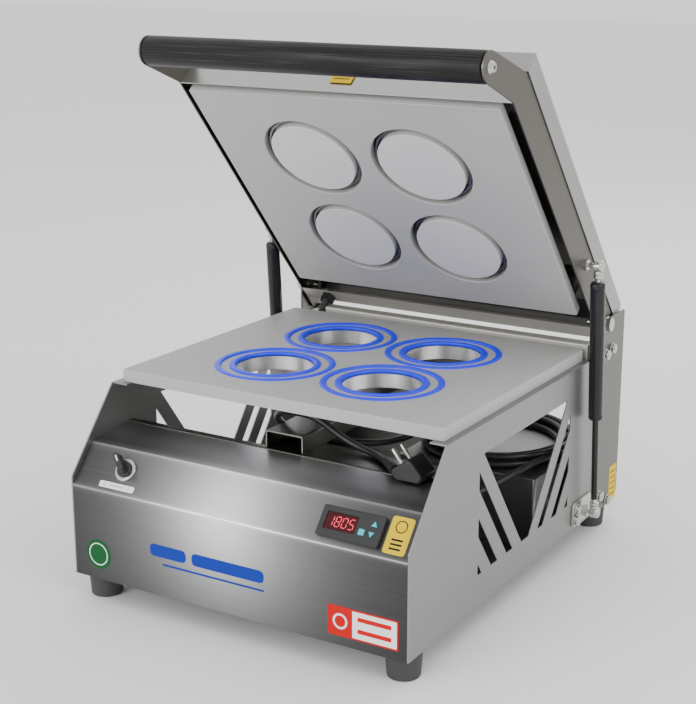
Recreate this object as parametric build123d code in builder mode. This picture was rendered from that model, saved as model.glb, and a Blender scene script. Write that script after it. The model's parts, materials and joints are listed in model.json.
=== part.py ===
"""Bench-top cup sealing machine with an opened, gas-sprung press lid.

Units are millimetres. +X is to the operator's right, +Y to the back, +Z up. The origin is on the
bench, under the middle of the machine. The lid is modelled open.
"""
import os
from math import atan2, cos, degrees, hypot, pi, radians, sin, tan

from build123d import *

os.makedirs("parts", exist_ok=True)

# ---------------------------------------------------------------- driving dimensions
# Places along the machine: y is measured back from the control panel's face, z up from the
# side plates' bottom edge, x from the middle.
body_width = 460.0            # over the side plates
side_sheet = 2.0
panel_sheet = 1.5
foot_height = 31.0
foot_diameter = 42.0
foot_inset = 22.0             # foot centre in from the side plates' outer faces
foot_front_y = 30.0
foot_rear_inset = 33.0        # rear feet in from the back

# side plates
plate_front_top_z = 123.3     # top of the short upright front edge
plate_slant_y = 78.7          # where the slanted edge meets the top edge
plate_top_z = 219.4
body_depth = 578.0
top_flange = 20.0
flange_gap = 4.0              # top flange stops short of the rear cross bar
window_front_y = 160.0
window_rear_y = 415.0
window_low_z = 40.0
window_high_z = 184.0
window_slope = 0.74           # run per rise of the slanted bars
window_half_foot = 10.5       # half width of the middle opening at its foot
window_bar = 24.5
window_slot = 16.5

# rear uprights, outside the side plates
upright_sheet = 3.0
upright_front_y = 500.0
upright_top_z = 266.0
upright_corner = 18.0

# control panel, one folded sheet
crease_z = 113.3
slant_back_y = 36.3
slant_top_z = 156.9
box_back_y = 107.6
box_back_z = 163.4
fold_radius = 3.0

# frame inside
pan_sheet = 2.0
shelf_depth = 51.0            # front cross bar's top face, front to back
shelf_ledge = 10.0            # its depth to the left of the rail
shelf_margin = 4.0            # how far its deep part reaches past the rail
shelf_drop = 26.0
rail_width = 52.0
rail_sheet = 2.0
rail_height = 21.6
bar_front_y = 474.0
bar_depth = 20.0
bar_low_z = 158.0
bar_high_z = 240.0
bar_tab = 8.0                 # the bar's end tabs, welded to the side plates
bar_notch_inset = 56.0        # the bar's upper part stops here, to let the conduit past
bar_notch_z = 190.0
rear_panel_z = 60.0
rear_panel_lip = 12.0
enclosure_width = 195.0
enclosure_side_gap = 15.0     # from the right side plate's outer face
enclosure_depth = 215.0
enclosure_back_gap = 18.0     # from the back edge
enclosure_corner = 4.0
enclosure_top_z = 94.0

# tray with its four cup places
tray_margin = 8.7             # tray in from the side plates' outer faces
tray_front_y = 89.5
tray_back_y = 467.5
tray_thickness = 15.0
ring_clearance = 4.8          # between neighbouring outer seal rings
cup_front_y = 205.5
cup_hole_radius = 47.5
collar_wall = 2.5
collar_below = 6.0            # collar length that hangs below the tray
inner_ring_lap = 5.25         # inner seal ring outwards of its collar
ring_spacing = 11.75          # between the two seal rings of a place
outer_ring_width = 7.0
ring_depth = 3.2              # how deep a seal ring sits in the tray
ring_proud = 1.5
ring_recess = 1.0             # shallow recess between the two rings
fit_gap = 0.1                 # between a piece and its seat

# lid
hinge_y = 512.7
hinge_z = 260.0
open_angle = 49.2
lid_gap = 0.5                 # between the lid's side plates and the machine's
skirt_sheet = 2.0
skirt_low_v = -16.5
skirt_high_v = 30.0
skirt_flange = 12.0
skirt_corner = 10.5           # cut off the skirt's lower rear corner, to pass the stop pin
skirt_rear_u = -40.0
skirt_front_u = 421.0
shell_inset = 0.8             # shell in from the machine's side plates
shell_low_v = 28.6
shell_high_v = 62.0
shell_front_u = 424.0
shell_rear_u = -40.5
shell_bevel = 4.0             # how far the bevels lean in
shell_sheet = 1.5
strip_u = 421.0               # outer face of the front strip
rear_wall_u = -38.3
rear_shelf_v = 4.0
rear_strip_u = -13.0
rear_strip_front_u = 10.0
handle_u = 490.0
handle_v = -33.0
handle_diameter = 36.0
handle_wall = 3.0
press_margin = 18.15          # press plate in from the machine's side plates
press_rear_u = 44.2
press_front_u = 416.4
press_low_v = -23.8
press_thickness = 12.3
disc_lap = 1.25               # disc outwards of the inner seal ring
disc_thickness = 14.0
cutter_gap = 5.0              # cutter's outer face from the disc's rim
cutter_wall = 2.0
cutter_recess = 6.0
press_hole_gap = 3.7          # press plate's hole from the cutter
heater_thickness = 5.0
heater_depth = 60.0
insulation_thickness = 12.0
insulation_margin = 12.0
beam_depth = 30.0
beam_height = 20.0
beam_inset = 8.0              # beams in from the press plate's front and rear edges
post_radius = 6.0

# hinge, stops and gas springs
hinge_bolt_radius = 5.0
running_gap = 0.05
bush_radius = 9.0
stop_radius = 4.0
stop_y = 536.6
stop_z = 222.1
spring_stand = 15.0           # gas springs' plane out from the side plates
lower_ball_y = 469.5
lower_ball_z = 16.5
upper_ball_u = 111.5
upper_ball_v = 8.5
ball_radius = 5.0
ball_gap = 0.3
stud_neck = 3.0
stud_hex = 4.0
stud_nut = 6.5
socket_radius = 7.5
socket_edge = 1.2
socket_depth = 4.0            # from the ball's centre to the socket's open face
socket_back = 7.0             # and to its closed face
socket_mouth = 4.4
shank_radius = 5.5
shank_start = 6.0
tube_radius = 9.5
tube_bore = 7.7
tube_start = 21.0             # from the upper ball, along the gas spring
tube_end = 204.0
rod_radius = 4.0
rod_reach = 172.0             # from the lower ball to the rod's inner end

# controls on the slanted face: x, and s up the slant from the crease
controller_inset = 79.0       # controller's middle in from the right side plate's face
controller_s = 25.2
bezel_width = 77.0
bezel_height = 35.0
bezel_thickness = 6.0
bezel_lip = 3.0               # bezel outwards of the case
case_depth = 60.0
window_offset = (-11.8, 0.8)  # display window from the controller's middle
window_width = 39.5
window_height = 20.0
window_thickness = 1.5
key_travel = 0.8
key_gap = 0.3
key_stand = 1.2               # keys proud of the bezel
switch_inset = 69.0           # switch in from the left side plate's face
switch_s = 30.4
switch_ring_radius = 14.0
switch_hole_radius = 11.0
switch_knob_radius = 9.6

# corrugated conduit from base to lid
conduit_radius = 6.75
conduit_inset = 27.0          # conduit's foot in from the left side plate's face
conduit_lid_inset = 45.0
conduit_lid_u = -2.0
conduit_gland = 9.5
conduit_bend = 30.0

# mains cord, stowed in the base
cord_radius = 4.25
coil_x = 112.0
coil_y = 450.0
coil_inner = 72.0
coil_outer = 108.0
coil_height = 30.0
gland_x = 150.0
gland_z = 104.0
gland_length = 32.0
plug_x = 172.0
plug_y = 108.0

# ---------------------------------------------------------------- derived places
half_body = body_width / 2
foot_rear_y = body_depth - foot_rear_inset
skirt_width = body_width - 2 * (side_sheet + lid_gap)
shell_width = body_width - 2 * shell_inset
tray_width = body_width - 2 * tray_margin
press_width = body_width - 2 * press_margin
spring_x = half_body + spring_stand
bar_notch_x = bar_notch_inset - half_body
conduit_x = conduit_inset - half_body
conduit_lid_x = conduit_lid_inset - half_body
switch_x = switch_inset - half_body
controller_x = half_body - controller_inset
case_width = bezel_width - 2 * bezel_lip
case_height = bezel_height - 2 * bezel_lip
window_x = controller_x + window_offset[0]
window_s = controller_s + window_offset[1]
enclosure_middle = (
    half_body - enclosure_side_gap - enclosure_width / 2,
    body_depth - enclosure_back_gap - enclosure_depth / 2,
)
collar_radius = cup_hole_radius + collar_wall
inner_ring_outer = collar_radius + inner_ring_lap
outer_ring_outer = inner_ring_outer + ring_spacing + outer_ring_width
cup_pitch = 2 * outer_ring_outer + ring_clearance
disc_radius = inner_ring_outer + disc_lap
cutter_radius = disc_radius + cutter_gap
press_hole_radius = cutter_radius + press_hole_gap
lid_cos, lid_sin = cos(radians(open_angle)), sin(radians(open_angle))
shell_top_rear_u = shell_rear_u + shell_bevel
rear_most = max(body_depth, hinge_y - shell_top_rear_u * lid_cos + shell_high_v * lid_sin)
front = -rear_most / 2

side = Plane(origin=(0, front, foot_height), x_dir=(0, 1, 0), z_dir=(1, 0, 0))
hinge = (0, front + hinge_y, foot_height + hinge_z)
lid_side = Plane(origin=hinge, x_dir=(0, -lid_cos, lid_sin), z_dir=(-1, 0, 0))
slant_length = hypot(slant_back_y, slant_top_z - crease_z)
slant = (0, slant_back_y / slant_length, (slant_top_z - crease_z) / slant_length)
panel_face = Plane(
    origin=(0, front, foot_height + crease_z), x_dir=(1, 0, 0), z_dir=(0, -slant[2], slant[1])
)


def level(z):
    """Horizontal plane at height z above the side plates' bottom edge; its y runs back from the face."""
    return Plane(origin=(0, front, foot_height + z), x_dir=(1, 0, 0), z_dir=(0, 0, 1))


def lid_level(v):
    """Plane across the lid at height v over the hinge; its x is the machine's, its y is minus u."""
    return Plane(
        origin=(0, hinge[1] + v * lid_sin, hinge[2] + v * lid_cos),
        x_dir=(1, 0, 0),
        z_dir=(0, lid_sin, lid_cos),
    )


def upright_plane(y):
    """Vertical plane across the machine, y back from the face, facing the front."""
    return Plane(origin=(0, front + y, foot_height), x_dir=(1, 0, 0), z_dir=(0, -1, 0))


def lid_point(x, u, v):
    """A place on the open lid in the machine's own axes."""
    return Vector(x, hinge[1] - u * lid_cos + v * lid_sin, hinge[2] + u * lid_sin + v * lid_cos)


def save(piece, label):
    """Label a finished piece and write it."""
    piece.part.label = label
    export_step(piece.part, f"parts/{label}.step")


# ---------------------------------------------------------------- side plates
window_middle_y = (window_front_y + window_rear_y) / 2
window_rise = window_high_z - window_low_z
lean = window_slope * window_rise


def side_plate(hand):
    """Slotted side plate with an inward top flange; hand is -1 on the left, 1 on the right."""
    with BuildPart() as plate:
        with BuildSketch(side.offset(hand * half_body)):
            with BuildLine():
                Polyline(
                    (0, 0), (0, plate_front_top_z), (plate_slant_y, plate_top_z),
                    (body_depth, plate_top_z), (body_depth, 0), close=True,
                )
            make_face()
            with BuildLine(mode=Mode.PRIVATE) as middle:
                Polyline(
                    (window_middle_y - window_half_foot, window_low_z),
                    (window_middle_y - window_half_foot - lean, window_high_z),
                    (window_middle_y + window_half_foot + lean, window_high_z),
                    (window_middle_y + window_half_foot, window_low_z), close=True,
                )
            make_face(middle.edges(), mode=Mode.SUBTRACT)
            with BuildSketch(mode=Mode.PRIVATE) as slots:
                for number in range(3):
                    start = window_half_foot + window_bar + number * (window_bar + window_slot)
                    for way in (-1, 1):
                        inner = window_middle_y + way * start
                        outer = inner + way * window_slot
                        with BuildLine():
                            Polyline(
                                (inner, window_low_z), (outer, window_low_z),
                                (outer + way * lean, window_high_z),
                                (inner + way * lean, window_high_z), close=True,
                            )
                        make_face()
                with Locations((window_middle_y, window_low_z + window_rise / 2)):
                    Rectangle(window_rear_y - window_front_y, window_rise, mode=Mode.INTERSECT)
            add(slots.sketch, mode=Mode.SUBTRACT)
            with Locations((stop_y, stop_z)):
                Circle(stop_radius, mode=Mode.SUBTRACT)
        extrude(amount=-hand * side_sheet)
        with BuildSketch(level(plate_top_z)):
            with Locations((hand * (half_body - side_sheet - top_flange / 2),
                            (plate_slant_y + bar_front_y) / 2)):
                Rectangle(top_flange, bar_front_y - plate_slant_y - flange_gap)
        extrude(amount=-side_sheet)
    return plate


side_plate_left = side_plate(-1)
side_plate_right = side_plate(1)
save(side_plate_left, "side_plate_left")
save(side_plate_right, "side_plate_right")


def rear_upright(hand):
    """Plate outside the side plate that carries the lid's hinge bolt and stop pin."""
    with BuildPart() as plate:
        with BuildSketch(side.offset(hand * half_body)):
            with BuildLine():
                Polyline(
                    (upright_front_y, 0), (upright_front_y, upright_top_z),
                    (body_depth, upright_top_z), (body_depth, 0), close=True,
                )
            made = make_face()
            fillet(made.vertices().group_by(Axis.Z)[-1].sort_by(Axis.Y)[0], upright_corner)
            with Locations((hinge_y, hinge_z)):
                Circle(hinge_bolt_radius, mode=Mode.SUBTRACT)
            with Locations((stop_y, stop_z)):
                Circle(stop_radius, mode=Mode.SUBTRACT)
        extrude(amount=hand * upright_sheet)
    return plate


rear_upright_left = rear_upright(-1)
rear_upright_right = rear_upright(1)
save(rear_upright_left, "rear_upright_left")
save(rear_upright_right, "rear_upright_right")

# ---------------------------------------------------------------- control panel and frame
inner_half = half_body - side_sheet

with BuildPart() as control_panel:
    with BuildSketch(side):
        with BuildLine():
            FilletPolyline(
                (0, 0), (0, crease_z), (slant_back_y, slant_top_z),
                (box_back_y, box_back_z), (box_back_y, pan_sheet), radius=fold_radius,
            )
            offset(amount=panel_sheet, side=Side.RIGHT, closed=True)
        make_face()
    extrude(amount=inner_half, both=True)
    with BuildSketch(panel_face):
        with Locations((controller_x, controller_s)):
            Rectangle(case_width, case_height)
        with Locations((switch_x, switch_s)):
            Circle(switch_hole_radius)
    extrude(amount=-4 * panel_sheet, mode=Mode.SUBTRACT)
    with BuildSketch(upright_plane(box_back_y)):
        with Locations((gland_x, gland_z)):
            Circle(cord_radius + 3)
    extrude(amount=2 * panel_sheet, mode=Mode.SUBTRACT)
save(control_panel, "control_panel")

with BuildPart() as floor_pan:
    with BuildSketch(level(0)):
        with Locations((0, (panel_sheet + body_depth - panel_sheet) / 2)):
            Rectangle(2 * inner_half, body_depth - 2 * panel_sheet)
    extrude(amount=pan_sheet)
save(floor_pan, "floor_pan")

with BuildPart() as rear_panel:
    with BuildSketch(side):
        with BuildLine():
            FilletPolyline(
                (body_depth, 0), (body_depth, rear_panel_z), (body_depth - rear_panel_lip, rear_panel_z),
                radius=fold_radius,
            )
            offset(amount=panel_sheet, side=Side.LEFT, closed=True)
        make_face()
    extrude(amount=inner_half, both=True)
save(rear_panel, "rear_panel")

with BuildPart() as front_cross_bar:
    with BuildSketch(side):
        with BuildLine():
            FilletPolyline(
                (box_back_y, box_back_z - shelf_drop), (box_back_y, box_back_z),
                (box_back_y + shelf_depth, box_back_z),
                (box_back_y + shelf_depth, box_back_z - shelf_drop), radius=fold_radius,
            )
            offset(amount=rail_sheet, side=Side.RIGHT, closed=True)
        make_face()
    extrude(amount=inner_half, both=True)
    with BuildSketch(level(box_back_z)):
        with Locations((-inner_half, box_back_y + shelf_ledge)):
            Rectangle(inner_half - rail_width / 2 - shelf_margin, shelf_depth - shelf_ledge,
                      align=(Align.MIN, Align.MIN))
    extrude(amount=-shelf_drop, mode=Mode.SUBTRACT)
save(front_cross_bar, "front_cross_bar")

rail_front_y = box_back_y + fold_radius
rail_top_z = box_back_z + rail_height
with BuildPart() as channel_rail:
    with BuildSketch(upright_plane(rail_front_y)):
        with BuildLine():
            FilletPolyline(
                (-rail_width / 2, box_back_z), (-rail_width / 2, rail_top_z),
                (rail_width / 2, rail_top_z), (rail_width / 2, box_back_z), radius=fold_radius,
            )
            offset(amount=rail_sheet, side=Side.RIGHT, closed=True)
        make_face()
    extrude(amount=-(bar_front_y - rail_front_y))
save(channel_rail, "channel_rail")

with BuildPart() as rear_cross_bar:
    with BuildSketch(side):
        with BuildLine():
            FilletPolyline(
                (bar_front_y, bar_low_z), (bar_front_y, bar_high_z),
                (bar_front_y + bar_depth, bar_high_z), (bar_front_y + bar_depth, bar_low_z),
                radius=fold_radius,
            )
            offset(amount=rail_sheet, side=Side.RIGHT, closed=True)
        make_face()
    extrude(amount=skirt_width / 2 - skirt_sheet - 2, both=True)
    with BuildSketch(upright_plane(bar_front_y)):
        with Locations((-half_body, bar_notch_z)):
            Rectangle(half_body + bar_notch_x, bar_high_z, align=(Align.MIN, Align.MIN))
    extrude(amount=-bar_depth, mode=Mode.SUBTRACT)
    for hand in (-1, 1):
        with BuildSketch(level(bar_low_z)):
            with Locations((hand * (inner_half - bar_tab / 2), bar_front_y + bar_depth / 2)):
                Rectangle(bar_tab, bar_depth)
        extrude(amount=bar_notch_z - bar_low_z)
save(rear_cross_bar, "rear_cross_bar")

with BuildPart() as electrical_enclosure:
    with BuildSketch(level(pan_sheet)):
        with Locations(enclosure_middle):
            RectangleRounded(enclosure_width, enclosure_depth, enclosure_corner)
    extrude(amount=enclosure_top_z - pan_sheet)
    with BuildSketch(level(pan_sheet)):
        with Locations(enclosure_middle):
            RectangleRounded(
                enclosure_width - 2 * panel_sheet, enclosure_depth - 2 * panel_sheet,
                enclosure_corner - panel_sheet,
            )
    extrude(amount=enclosure_top_z - pan_sheet - panel_sheet, mode=Mode.SUBTRACT)
save(electrical_enclosure, "electrical_enclosure")

relay_place = (-60, 60)
relay_base = (58, 44)
relay_block = (44, 40)
terminal_place = (20, 60)
terminal_base = (60, 24)
terminal_block = (10, 20)
terminal_pitch = 12
base_height = 8.0
block_height = 22.0
with BuildPart() as power_relay:
    with BuildSketch(level(pan_sheet)):
        with Locations(relay_place):
            Rectangle(*relay_base)
        with Locations(terminal_place):
            Rectangle(*terminal_base)
    extrude(amount=base_height)
    with BuildSketch(level(pan_sheet + base_height)):
        with Locations(relay_place):
            Rectangle(*relay_block)
        with Locations(terminal_place):
            with GridLocations(terminal_pitch, 1, 4, 1):
                Rectangle(*terminal_block)
    extrude(amount=block_height)
save(power_relay, "power_relay")

# ---------------------------------------------------------------- feet
for label, foot_y in (("feet_front", foot_front_y), ("feet_rear", foot_rear_y)):
    with BuildPart() as feet:
        with BuildSketch(level(0)):
            with Locations((0, foot_y)):
                with GridLocations(2 * (half_body - foot_inset), 1, 2, 1):
                    Circle(foot_diameter / 2)
        extrude(amount=-foot_height, taper=4)
        fillet(feet.edges().filter_by(GeomType.CIRCLE).group_by(Axis.Z)[0], 2)
    save(feet, label)

# ---------------------------------------------------------------- tray and its cup places
tray_top_z = plate_top_z + tray_thickness
cup_middle_y = cup_front_y + cup_pitch / 2
inner_ring_bore = cup_hole_radius + 0.5
ring_height = ring_depth + ring_proud

with BuildPart() as tray_plate:
    with BuildSketch(level(plate_top_z)):
        with Locations((0, (tray_front_y + tray_back_y) / 2)):
            RectangleRounded(tray_width, tray_back_y - tray_front_y, 3)
        with Locations((0, cup_middle_y)):
            with GridLocations(cup_pitch, cup_pitch, 2, 2):
                Circle(collar_radius + fit_gap, mode=Mode.SUBTRACT)
    extrude(amount=tray_thickness)
    chamfer(tray_plate.faces().sort_by(Axis.Z)[-1].outer_wire().edges(), 0.8)
    with BuildSketch(level(tray_top_z)):
        with Locations((0, cup_middle_y)):
            with GridLocations(cup_pitch, cup_pitch, 2, 2):
                Circle(outer_ring_outer - outer_ring_width)
    extrude(amount=-ring_recess, mode=Mode.SUBTRACT)
    with BuildSketch(level(tray_top_z)):
        with Locations((0, cup_middle_y)):
            with GridLocations(cup_pitch, cup_pitch, 2, 2):
                Circle(outer_ring_outer + fit_gap)
                Circle(outer_ring_outer - outer_ring_width - fit_gap, mode=Mode.SUBTRACT)
        with Locations((0, cup_middle_y)):
            with GridLocations(cup_pitch, cup_pitch, 2, 2):
                Circle(inner_ring_outer + fit_gap)
    extrude(amount=-ring_depth, mode=Mode.SUBTRACT)
save(tray_plate, "tray_plate")

number = 0
for row in (-1, 1):
    for hand in (-1, 1):
        number += 1
        with BuildPart() as cup_collar:
            with BuildSketch(level(plate_top_z - collar_below)):
                with Locations((hand * cup_pitch / 2, cup_middle_y + row * cup_pitch / 2)):
                    Circle(collar_radius)
                    Circle(cup_hole_radius, mode=Mode.SUBTRACT)
            extrude(amount=collar_below + tray_thickness - ring_depth)
            chamfer(cup_collar.edges().group_by(Axis.Z)[0], 0.6)
        save(cup_collar, f"cup_collar_{number}")


def seal_rings(outer_radius, bore_radius):
    """Four silicone rings with rounded tops, one in each cup place."""
    with BuildPart() as rings:
        with BuildSketch(level(tray_top_z - ring_depth)):
            with Locations((0, cup_middle_y)):
                with GridLocations(cup_pitch, cup_pitch, 2, 2):
                    Circle(outer_radius)
                    Circle(bore_radius, mode=Mode.SUBTRACT)
        extrude(amount=ring_height)
        fillet(rings.edges().group_by(Axis.Z)[-1], 1.4)
    return rings


outer_seal_rings = seal_rings(outer_ring_outer, outer_ring_outer - outer_ring_width)
inner_seal_rings = seal_rings(inner_ring_outer, inner_ring_bore)
save(outer_seal_rings, "outer_seal_rings")
save(inner_seal_rings, "inner_seal_rings")

# ---------------------------------------------------------------- lid
skirt_half = skirt_width / 2
skirt_inner = skirt_half - skirt_sheet
bush_length = 6.5
screw_hole_radius = 4.2
stud_hole_radius = 4.1
handle_radius = handle_diameter / 2


def lid_side_plate(hand):
    """Side plate of the lid with the handle ear and the welded hinge bush."""
    with BuildPart() as plate:
        with BuildSketch(lid_side.offset(-hand * skirt_half)):
            with BuildLine():
                CenterArc((handle_u, handle_v), handle_radius, 0, 360)
                Line((skirt_front_u, skirt_low_v), (skirt_front_u, shell_low_v))
            make_hull()
            with BuildLine():
                Polyline(
                    (skirt_rear_u, skirt_low_v + skirt_corner), (skirt_rear_u + 5, skirt_low_v),
                    (skirt_front_u, skirt_low_v), (skirt_front_u, skirt_high_v),
                    (skirt_rear_u + 2, skirt_high_v), (skirt_rear_u + 2, shell_low_v - 1),
                    (skirt_rear_u, shell_low_v - 3), close=True,
                )
            make_face()
            with Locations((0, 0)):
                Circle(hinge_bolt_radius + running_gap, mode=Mode.SUBTRACT)
            with Locations((handle_u, handle_v)):
                Circle(screw_hole_radius, mode=Mode.SUBTRACT)
            with Locations((upper_ball_u, upper_ball_v)):
                Circle(stud_hole_radius, mode=Mode.SUBTRACT)
        extrude(amount=hand * skirt_sheet)
        with BuildSketch(lid_side.offset(-hand * skirt_inner)):
            Circle(bush_radius)
            Circle(hinge_bolt_radius + running_gap, mode=Mode.SUBTRACT)
        extrude(amount=hand * (bush_length - skirt_sheet))
        with BuildSketch(lid_level(skirt_high_v)):
            with Locations((hand * (skirt_inner - skirt_flange / 2),
                            -(skirt_front_u + skirt_rear_u) / 2)):
                Rectangle(skirt_flange, skirt_front_u - skirt_rear_u - 40)
        extrude(amount=-skirt_sheet)
    return plate


lid_side_left = lid_side_plate(-1)
lid_side_right = lid_side_plate(1)
save(lid_side_left, "lid_side_left")
save(lid_side_right, "lid_side_right")

shell_depth = shell_front_u - shell_rear_u
shell_rise = shell_high_v - shell_low_v
with BuildPart() as lid_shell:
    with BuildSketch(lid_level(shell_low_v)):
        with Locations((0, -(shell_front_u + shell_rear_u) / 2)):
            Rectangle(shell_width, shell_depth)
    extrude(amount=shell_rise, taper=degrees(atan2(shell_bevel, shell_rise)))
    top_face = lid_shell.faces().sort_by(Axis((0, 0, 0), (0, lid_sin, lid_cos)))[-1]
    fillet(top_face.edges(), fold_radius)
    low_face = lid_shell.faces().sort_by(Axis((0, 0, 0), (0, lid_sin, lid_cos)))[0]
    offset(amount=-shell_sheet, openings=low_face)
save(lid_shell, "lid_shell")

with BuildPart() as lid_front_strip:
    with BuildSketch(lid_side):
        with BuildLine():
            FilletPolyline(
                (strip_u, skirt_low_v), (strip_u, skirt_high_v),
                (strip_u - skirt_flange, skirt_high_v), radius=fold_radius,
            )
            offset(amount=shell_sheet, side=Side.LEFT, closed=True)
        make_face()
    extrude(amount=skirt_inner, both=True)
save(lid_front_strip, "lid_front_strip")

with BuildPart() as lid_rear_wall:
    with BuildSketch(lid_side):
        with BuildLine():
            FilletPolyline(
                (rear_wall_u, skirt_high_v), (rear_wall_u, rear_shelf_v),
                (rear_strip_u, rear_shelf_v), (rear_strip_u, skirt_low_v),
                (rear_strip_front_u, skirt_low_v), radius=fold_radius,
            )
            offset(amount=shell_sheet, side=Side.LEFT, closed=True)
        make_face()
    extrude(amount=skirt_inner, both=True)
    with BuildSketch(lid_level(skirt_low_v)):
        with Locations((conduit_lid_x, -conduit_lid_u)):
            Circle(conduit_radius)
    extrude(amount=3 * shell_sheet, both=True, mode=Mode.SUBTRACT)
save(lid_rear_wall, "lid_rear_wall")

cup_middle_u = hinge_y - cup_middle_y
press_high_v = press_low_v + press_thickness
disc_high_v = press_low_v + disc_thickness
insulation_low_v = disc_high_v + heater_thickness
beam_low_v = insulation_low_v + insulation_thickness

with BuildPart() as upper_plate:
    with BuildSketch(lid_level(press_low_v)):
        with Locations((0, -(press_front_u + press_rear_u) / 2)):
            RectangleRounded(press_width, press_front_u - press_rear_u, 3)
        with Locations((0, -cup_middle_u)):
            with GridLocations(cup_pitch, cup_pitch, 2, 2):
                Circle(press_hole_radius, mode=Mode.SUBTRACT)
    extrude(amount=press_thickness)
save(upper_plate, "upper_plate")

with BuildPart() as sealing_discs:
    with BuildSketch(lid_level(press_low_v)):
        with Locations((0, -cup_middle_u)):
            with GridLocations(cup_pitch, cup_pitch, 2, 2):
                Circle(disc_radius)
    extrude(amount=disc_thickness)
    low_rims = sealing_discs.edges().group_by(Axis((0, 0, 0), (0, lid_sin, lid_cos)))[:4]
    chamfer([edge for group in low_rims for edge in group], 0.5)
save(sealing_discs, "sealing_discs")

with BuildPart() as ring_cutters:
    with BuildSketch(lid_level(press_low_v + cutter_recess)):
        with Locations((0, -cup_middle_u)):
            with GridLocations(cup_pitch, cup_pitch, 2, 2):
                Circle(cutter_radius)
                Circle(cutter_radius - cutter_wall, mode=Mode.SUBTRACT)
    extrude(amount=disc_thickness - cutter_recess)
save(ring_cutters, "ring_cutters")

with BuildPart() as heating_elements:
    with BuildSketch(lid_level(disc_high_v)):
        with Locations((0, -cup_middle_u)):
            with GridLocations(1, cup_pitch, 1, 2):
                Rectangle(cup_pitch + 2 * disc_radius, heater_depth)
            with GridLocations(cup_pitch, cup_pitch, 2, 2):
                Circle(cutter_radius + 1)
    extrude(amount=heater_thickness)
save(heating_elements, "heating_elements")

with BuildPart() as insulation_board:
    with BuildSketch(lid_level(insulation_low_v)):
        with Locations((0, -(press_front_u + press_rear_u) / 2)):
            Rectangle(press_width - 2 * insulation_margin - 4 * post_radius,
                      press_front_u - press_rear_u - 2 * insulation_margin)
    extrude(amount=insulation_thickness)
save(insulation_board, "insulation_board")

beam_us = (press_rear_u + beam_inset + beam_depth / 2, press_front_u - beam_inset - beam_depth / 2)
post_x = press_width / 2 - post_radius - 3
with BuildPart() as carrier_beams:
    for beam_u in beam_us:
        with BuildSketch(lid_side):
            with BuildLine():
                FilletPolyline(
                    (beam_u - beam_depth / 2, beam_low_v + beam_height),
                    (beam_u - beam_depth / 2, beam_low_v), (beam_u + beam_depth / 2, beam_low_v),
                    (beam_u + beam_depth / 2, beam_low_v + beam_height), radius=fold_radius,
                )
                offset(amount=rail_sheet, side=Side.LEFT, closed=True)
            make_face()
        extrude(amount=skirt_inner, both=True)
        with BuildSketch(lid_level(press_high_v)):
            with Locations((0, -beam_u)):
                with GridLocations(2 * post_x, 1, 2, 1):
                    Circle(post_radius)
        extrude(amount=beam_low_v - press_high_v)
save(carrier_beams, "carrier_beams")

handle_plug = 20.0            # solid length at each end of the handle
handle_bore = 4.0
with BuildPart() as handle_bar:
    with BuildSketch(lid_side.offset(-skirt_inner)):
        with Locations((handle_u, handle_v)):
            Circle(handle_radius)
            Circle(handle_bore, mode=Mode.SUBTRACT)
    extrude(amount=2 * skirt_inner)
    with BuildSketch(lid_side.offset(handle_plug - skirt_inner)):
        with Locations((handle_u, handle_v)):
            Circle(handle_radius - handle_wall)
    extrude(amount=2 * (skirt_inner - handle_plug), mode=Mode.SUBTRACT)
save(handle_bar, "handle_bar")

screw_head_radius = 7.5
screw_head = 4.2
screw_radius = handle_bore - fit_gap
key_socket = (2.5, 2.4)       # its hexagon's radius and its depth
with BuildPart() as handle_screws:
    for hand in (-1, 1):
        with BuildSketch(lid_side.offset(-hand * skirt_half)):
            with Locations((handle_u, handle_v)):
                Circle(screw_head_radius)
        extrude(amount=-hand * screw_head, taper=30)
        with BuildSketch(lid_side.offset(-hand * (skirt_half + screw_head))):
            with Locations((handle_u, handle_v)):
                RegularPolygon(key_socket[0], 6)
        extrude(amount=hand * key_socket[1], mode=Mode.SUBTRACT)
        with BuildSketch(lid_side.offset(-hand * skirt_half)):
            with Locations((handle_u, handle_v)):
                Circle(screw_radius)
        extrude(amount=hand * (handle_plug - skirt_sheet))
save(handle_screws, "handle_screws")

# ---------------------------------------------------------------- hinge and stops
washer_wall = 1.6
upright_out = half_body + upright_sheet
washer_radius = 10.5
hinge_bolt_flat = 8.5         # half the width of the bolt's head and nut
bolt_head = 6.4
nut_height = 8.0
nut_start = skirt_half - bush_length - ball_gap   # inner face of the bush, less a running gap

with BuildPart() as hinge_fasteners:
    for hand in (-1, 1):
        with BuildSketch(side.offset(hand * upright_out)):
            with Locations((hinge_y, hinge_z)):
                Circle(washer_radius)
        extrude(amount=hand * washer_wall)
        with BuildSketch(side.offset(hand * (upright_out + washer_wall))):
            with Locations((hinge_y, hinge_z)):
                RegularPolygon(hinge_bolt_flat, 6, major_radius=False)
        extrude(amount=hand * bolt_head)
        with BuildSketch(side.offset(hand * upright_out)):
            with Locations((hinge_y, hinge_z)):
                Circle(hinge_bolt_radius)
        extrude(amount=-hand * (upright_out - nut_start + nut_height + 4))
        with BuildSketch(side.offset(hand * half_body)):
            with Locations((hinge_y, hinge_z)):
                Circle(bush_radius)
        extrude(amount=-hand * (half_body - skirt_half - ball_gap))
        with BuildSketch(side.offset(hand * nut_start)):
            with Locations((hinge_y, hinge_z)):
                RegularPolygon(hinge_bolt_flat, 6, major_radius=False)
        extrude(amount=-hand * nut_height)
save(hinge_fasteners, "hinge_fasteners")

stop_inner = skirt_inner - 4
fixing_places = ((514, 22), (542, 8), (516, 218))
bracket_bolt_places = ((441, 27), (437, 13))
bracket_sheet = 3.0
small_bolt_flat = 6.5
small_bolt_head = 5.3

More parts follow.
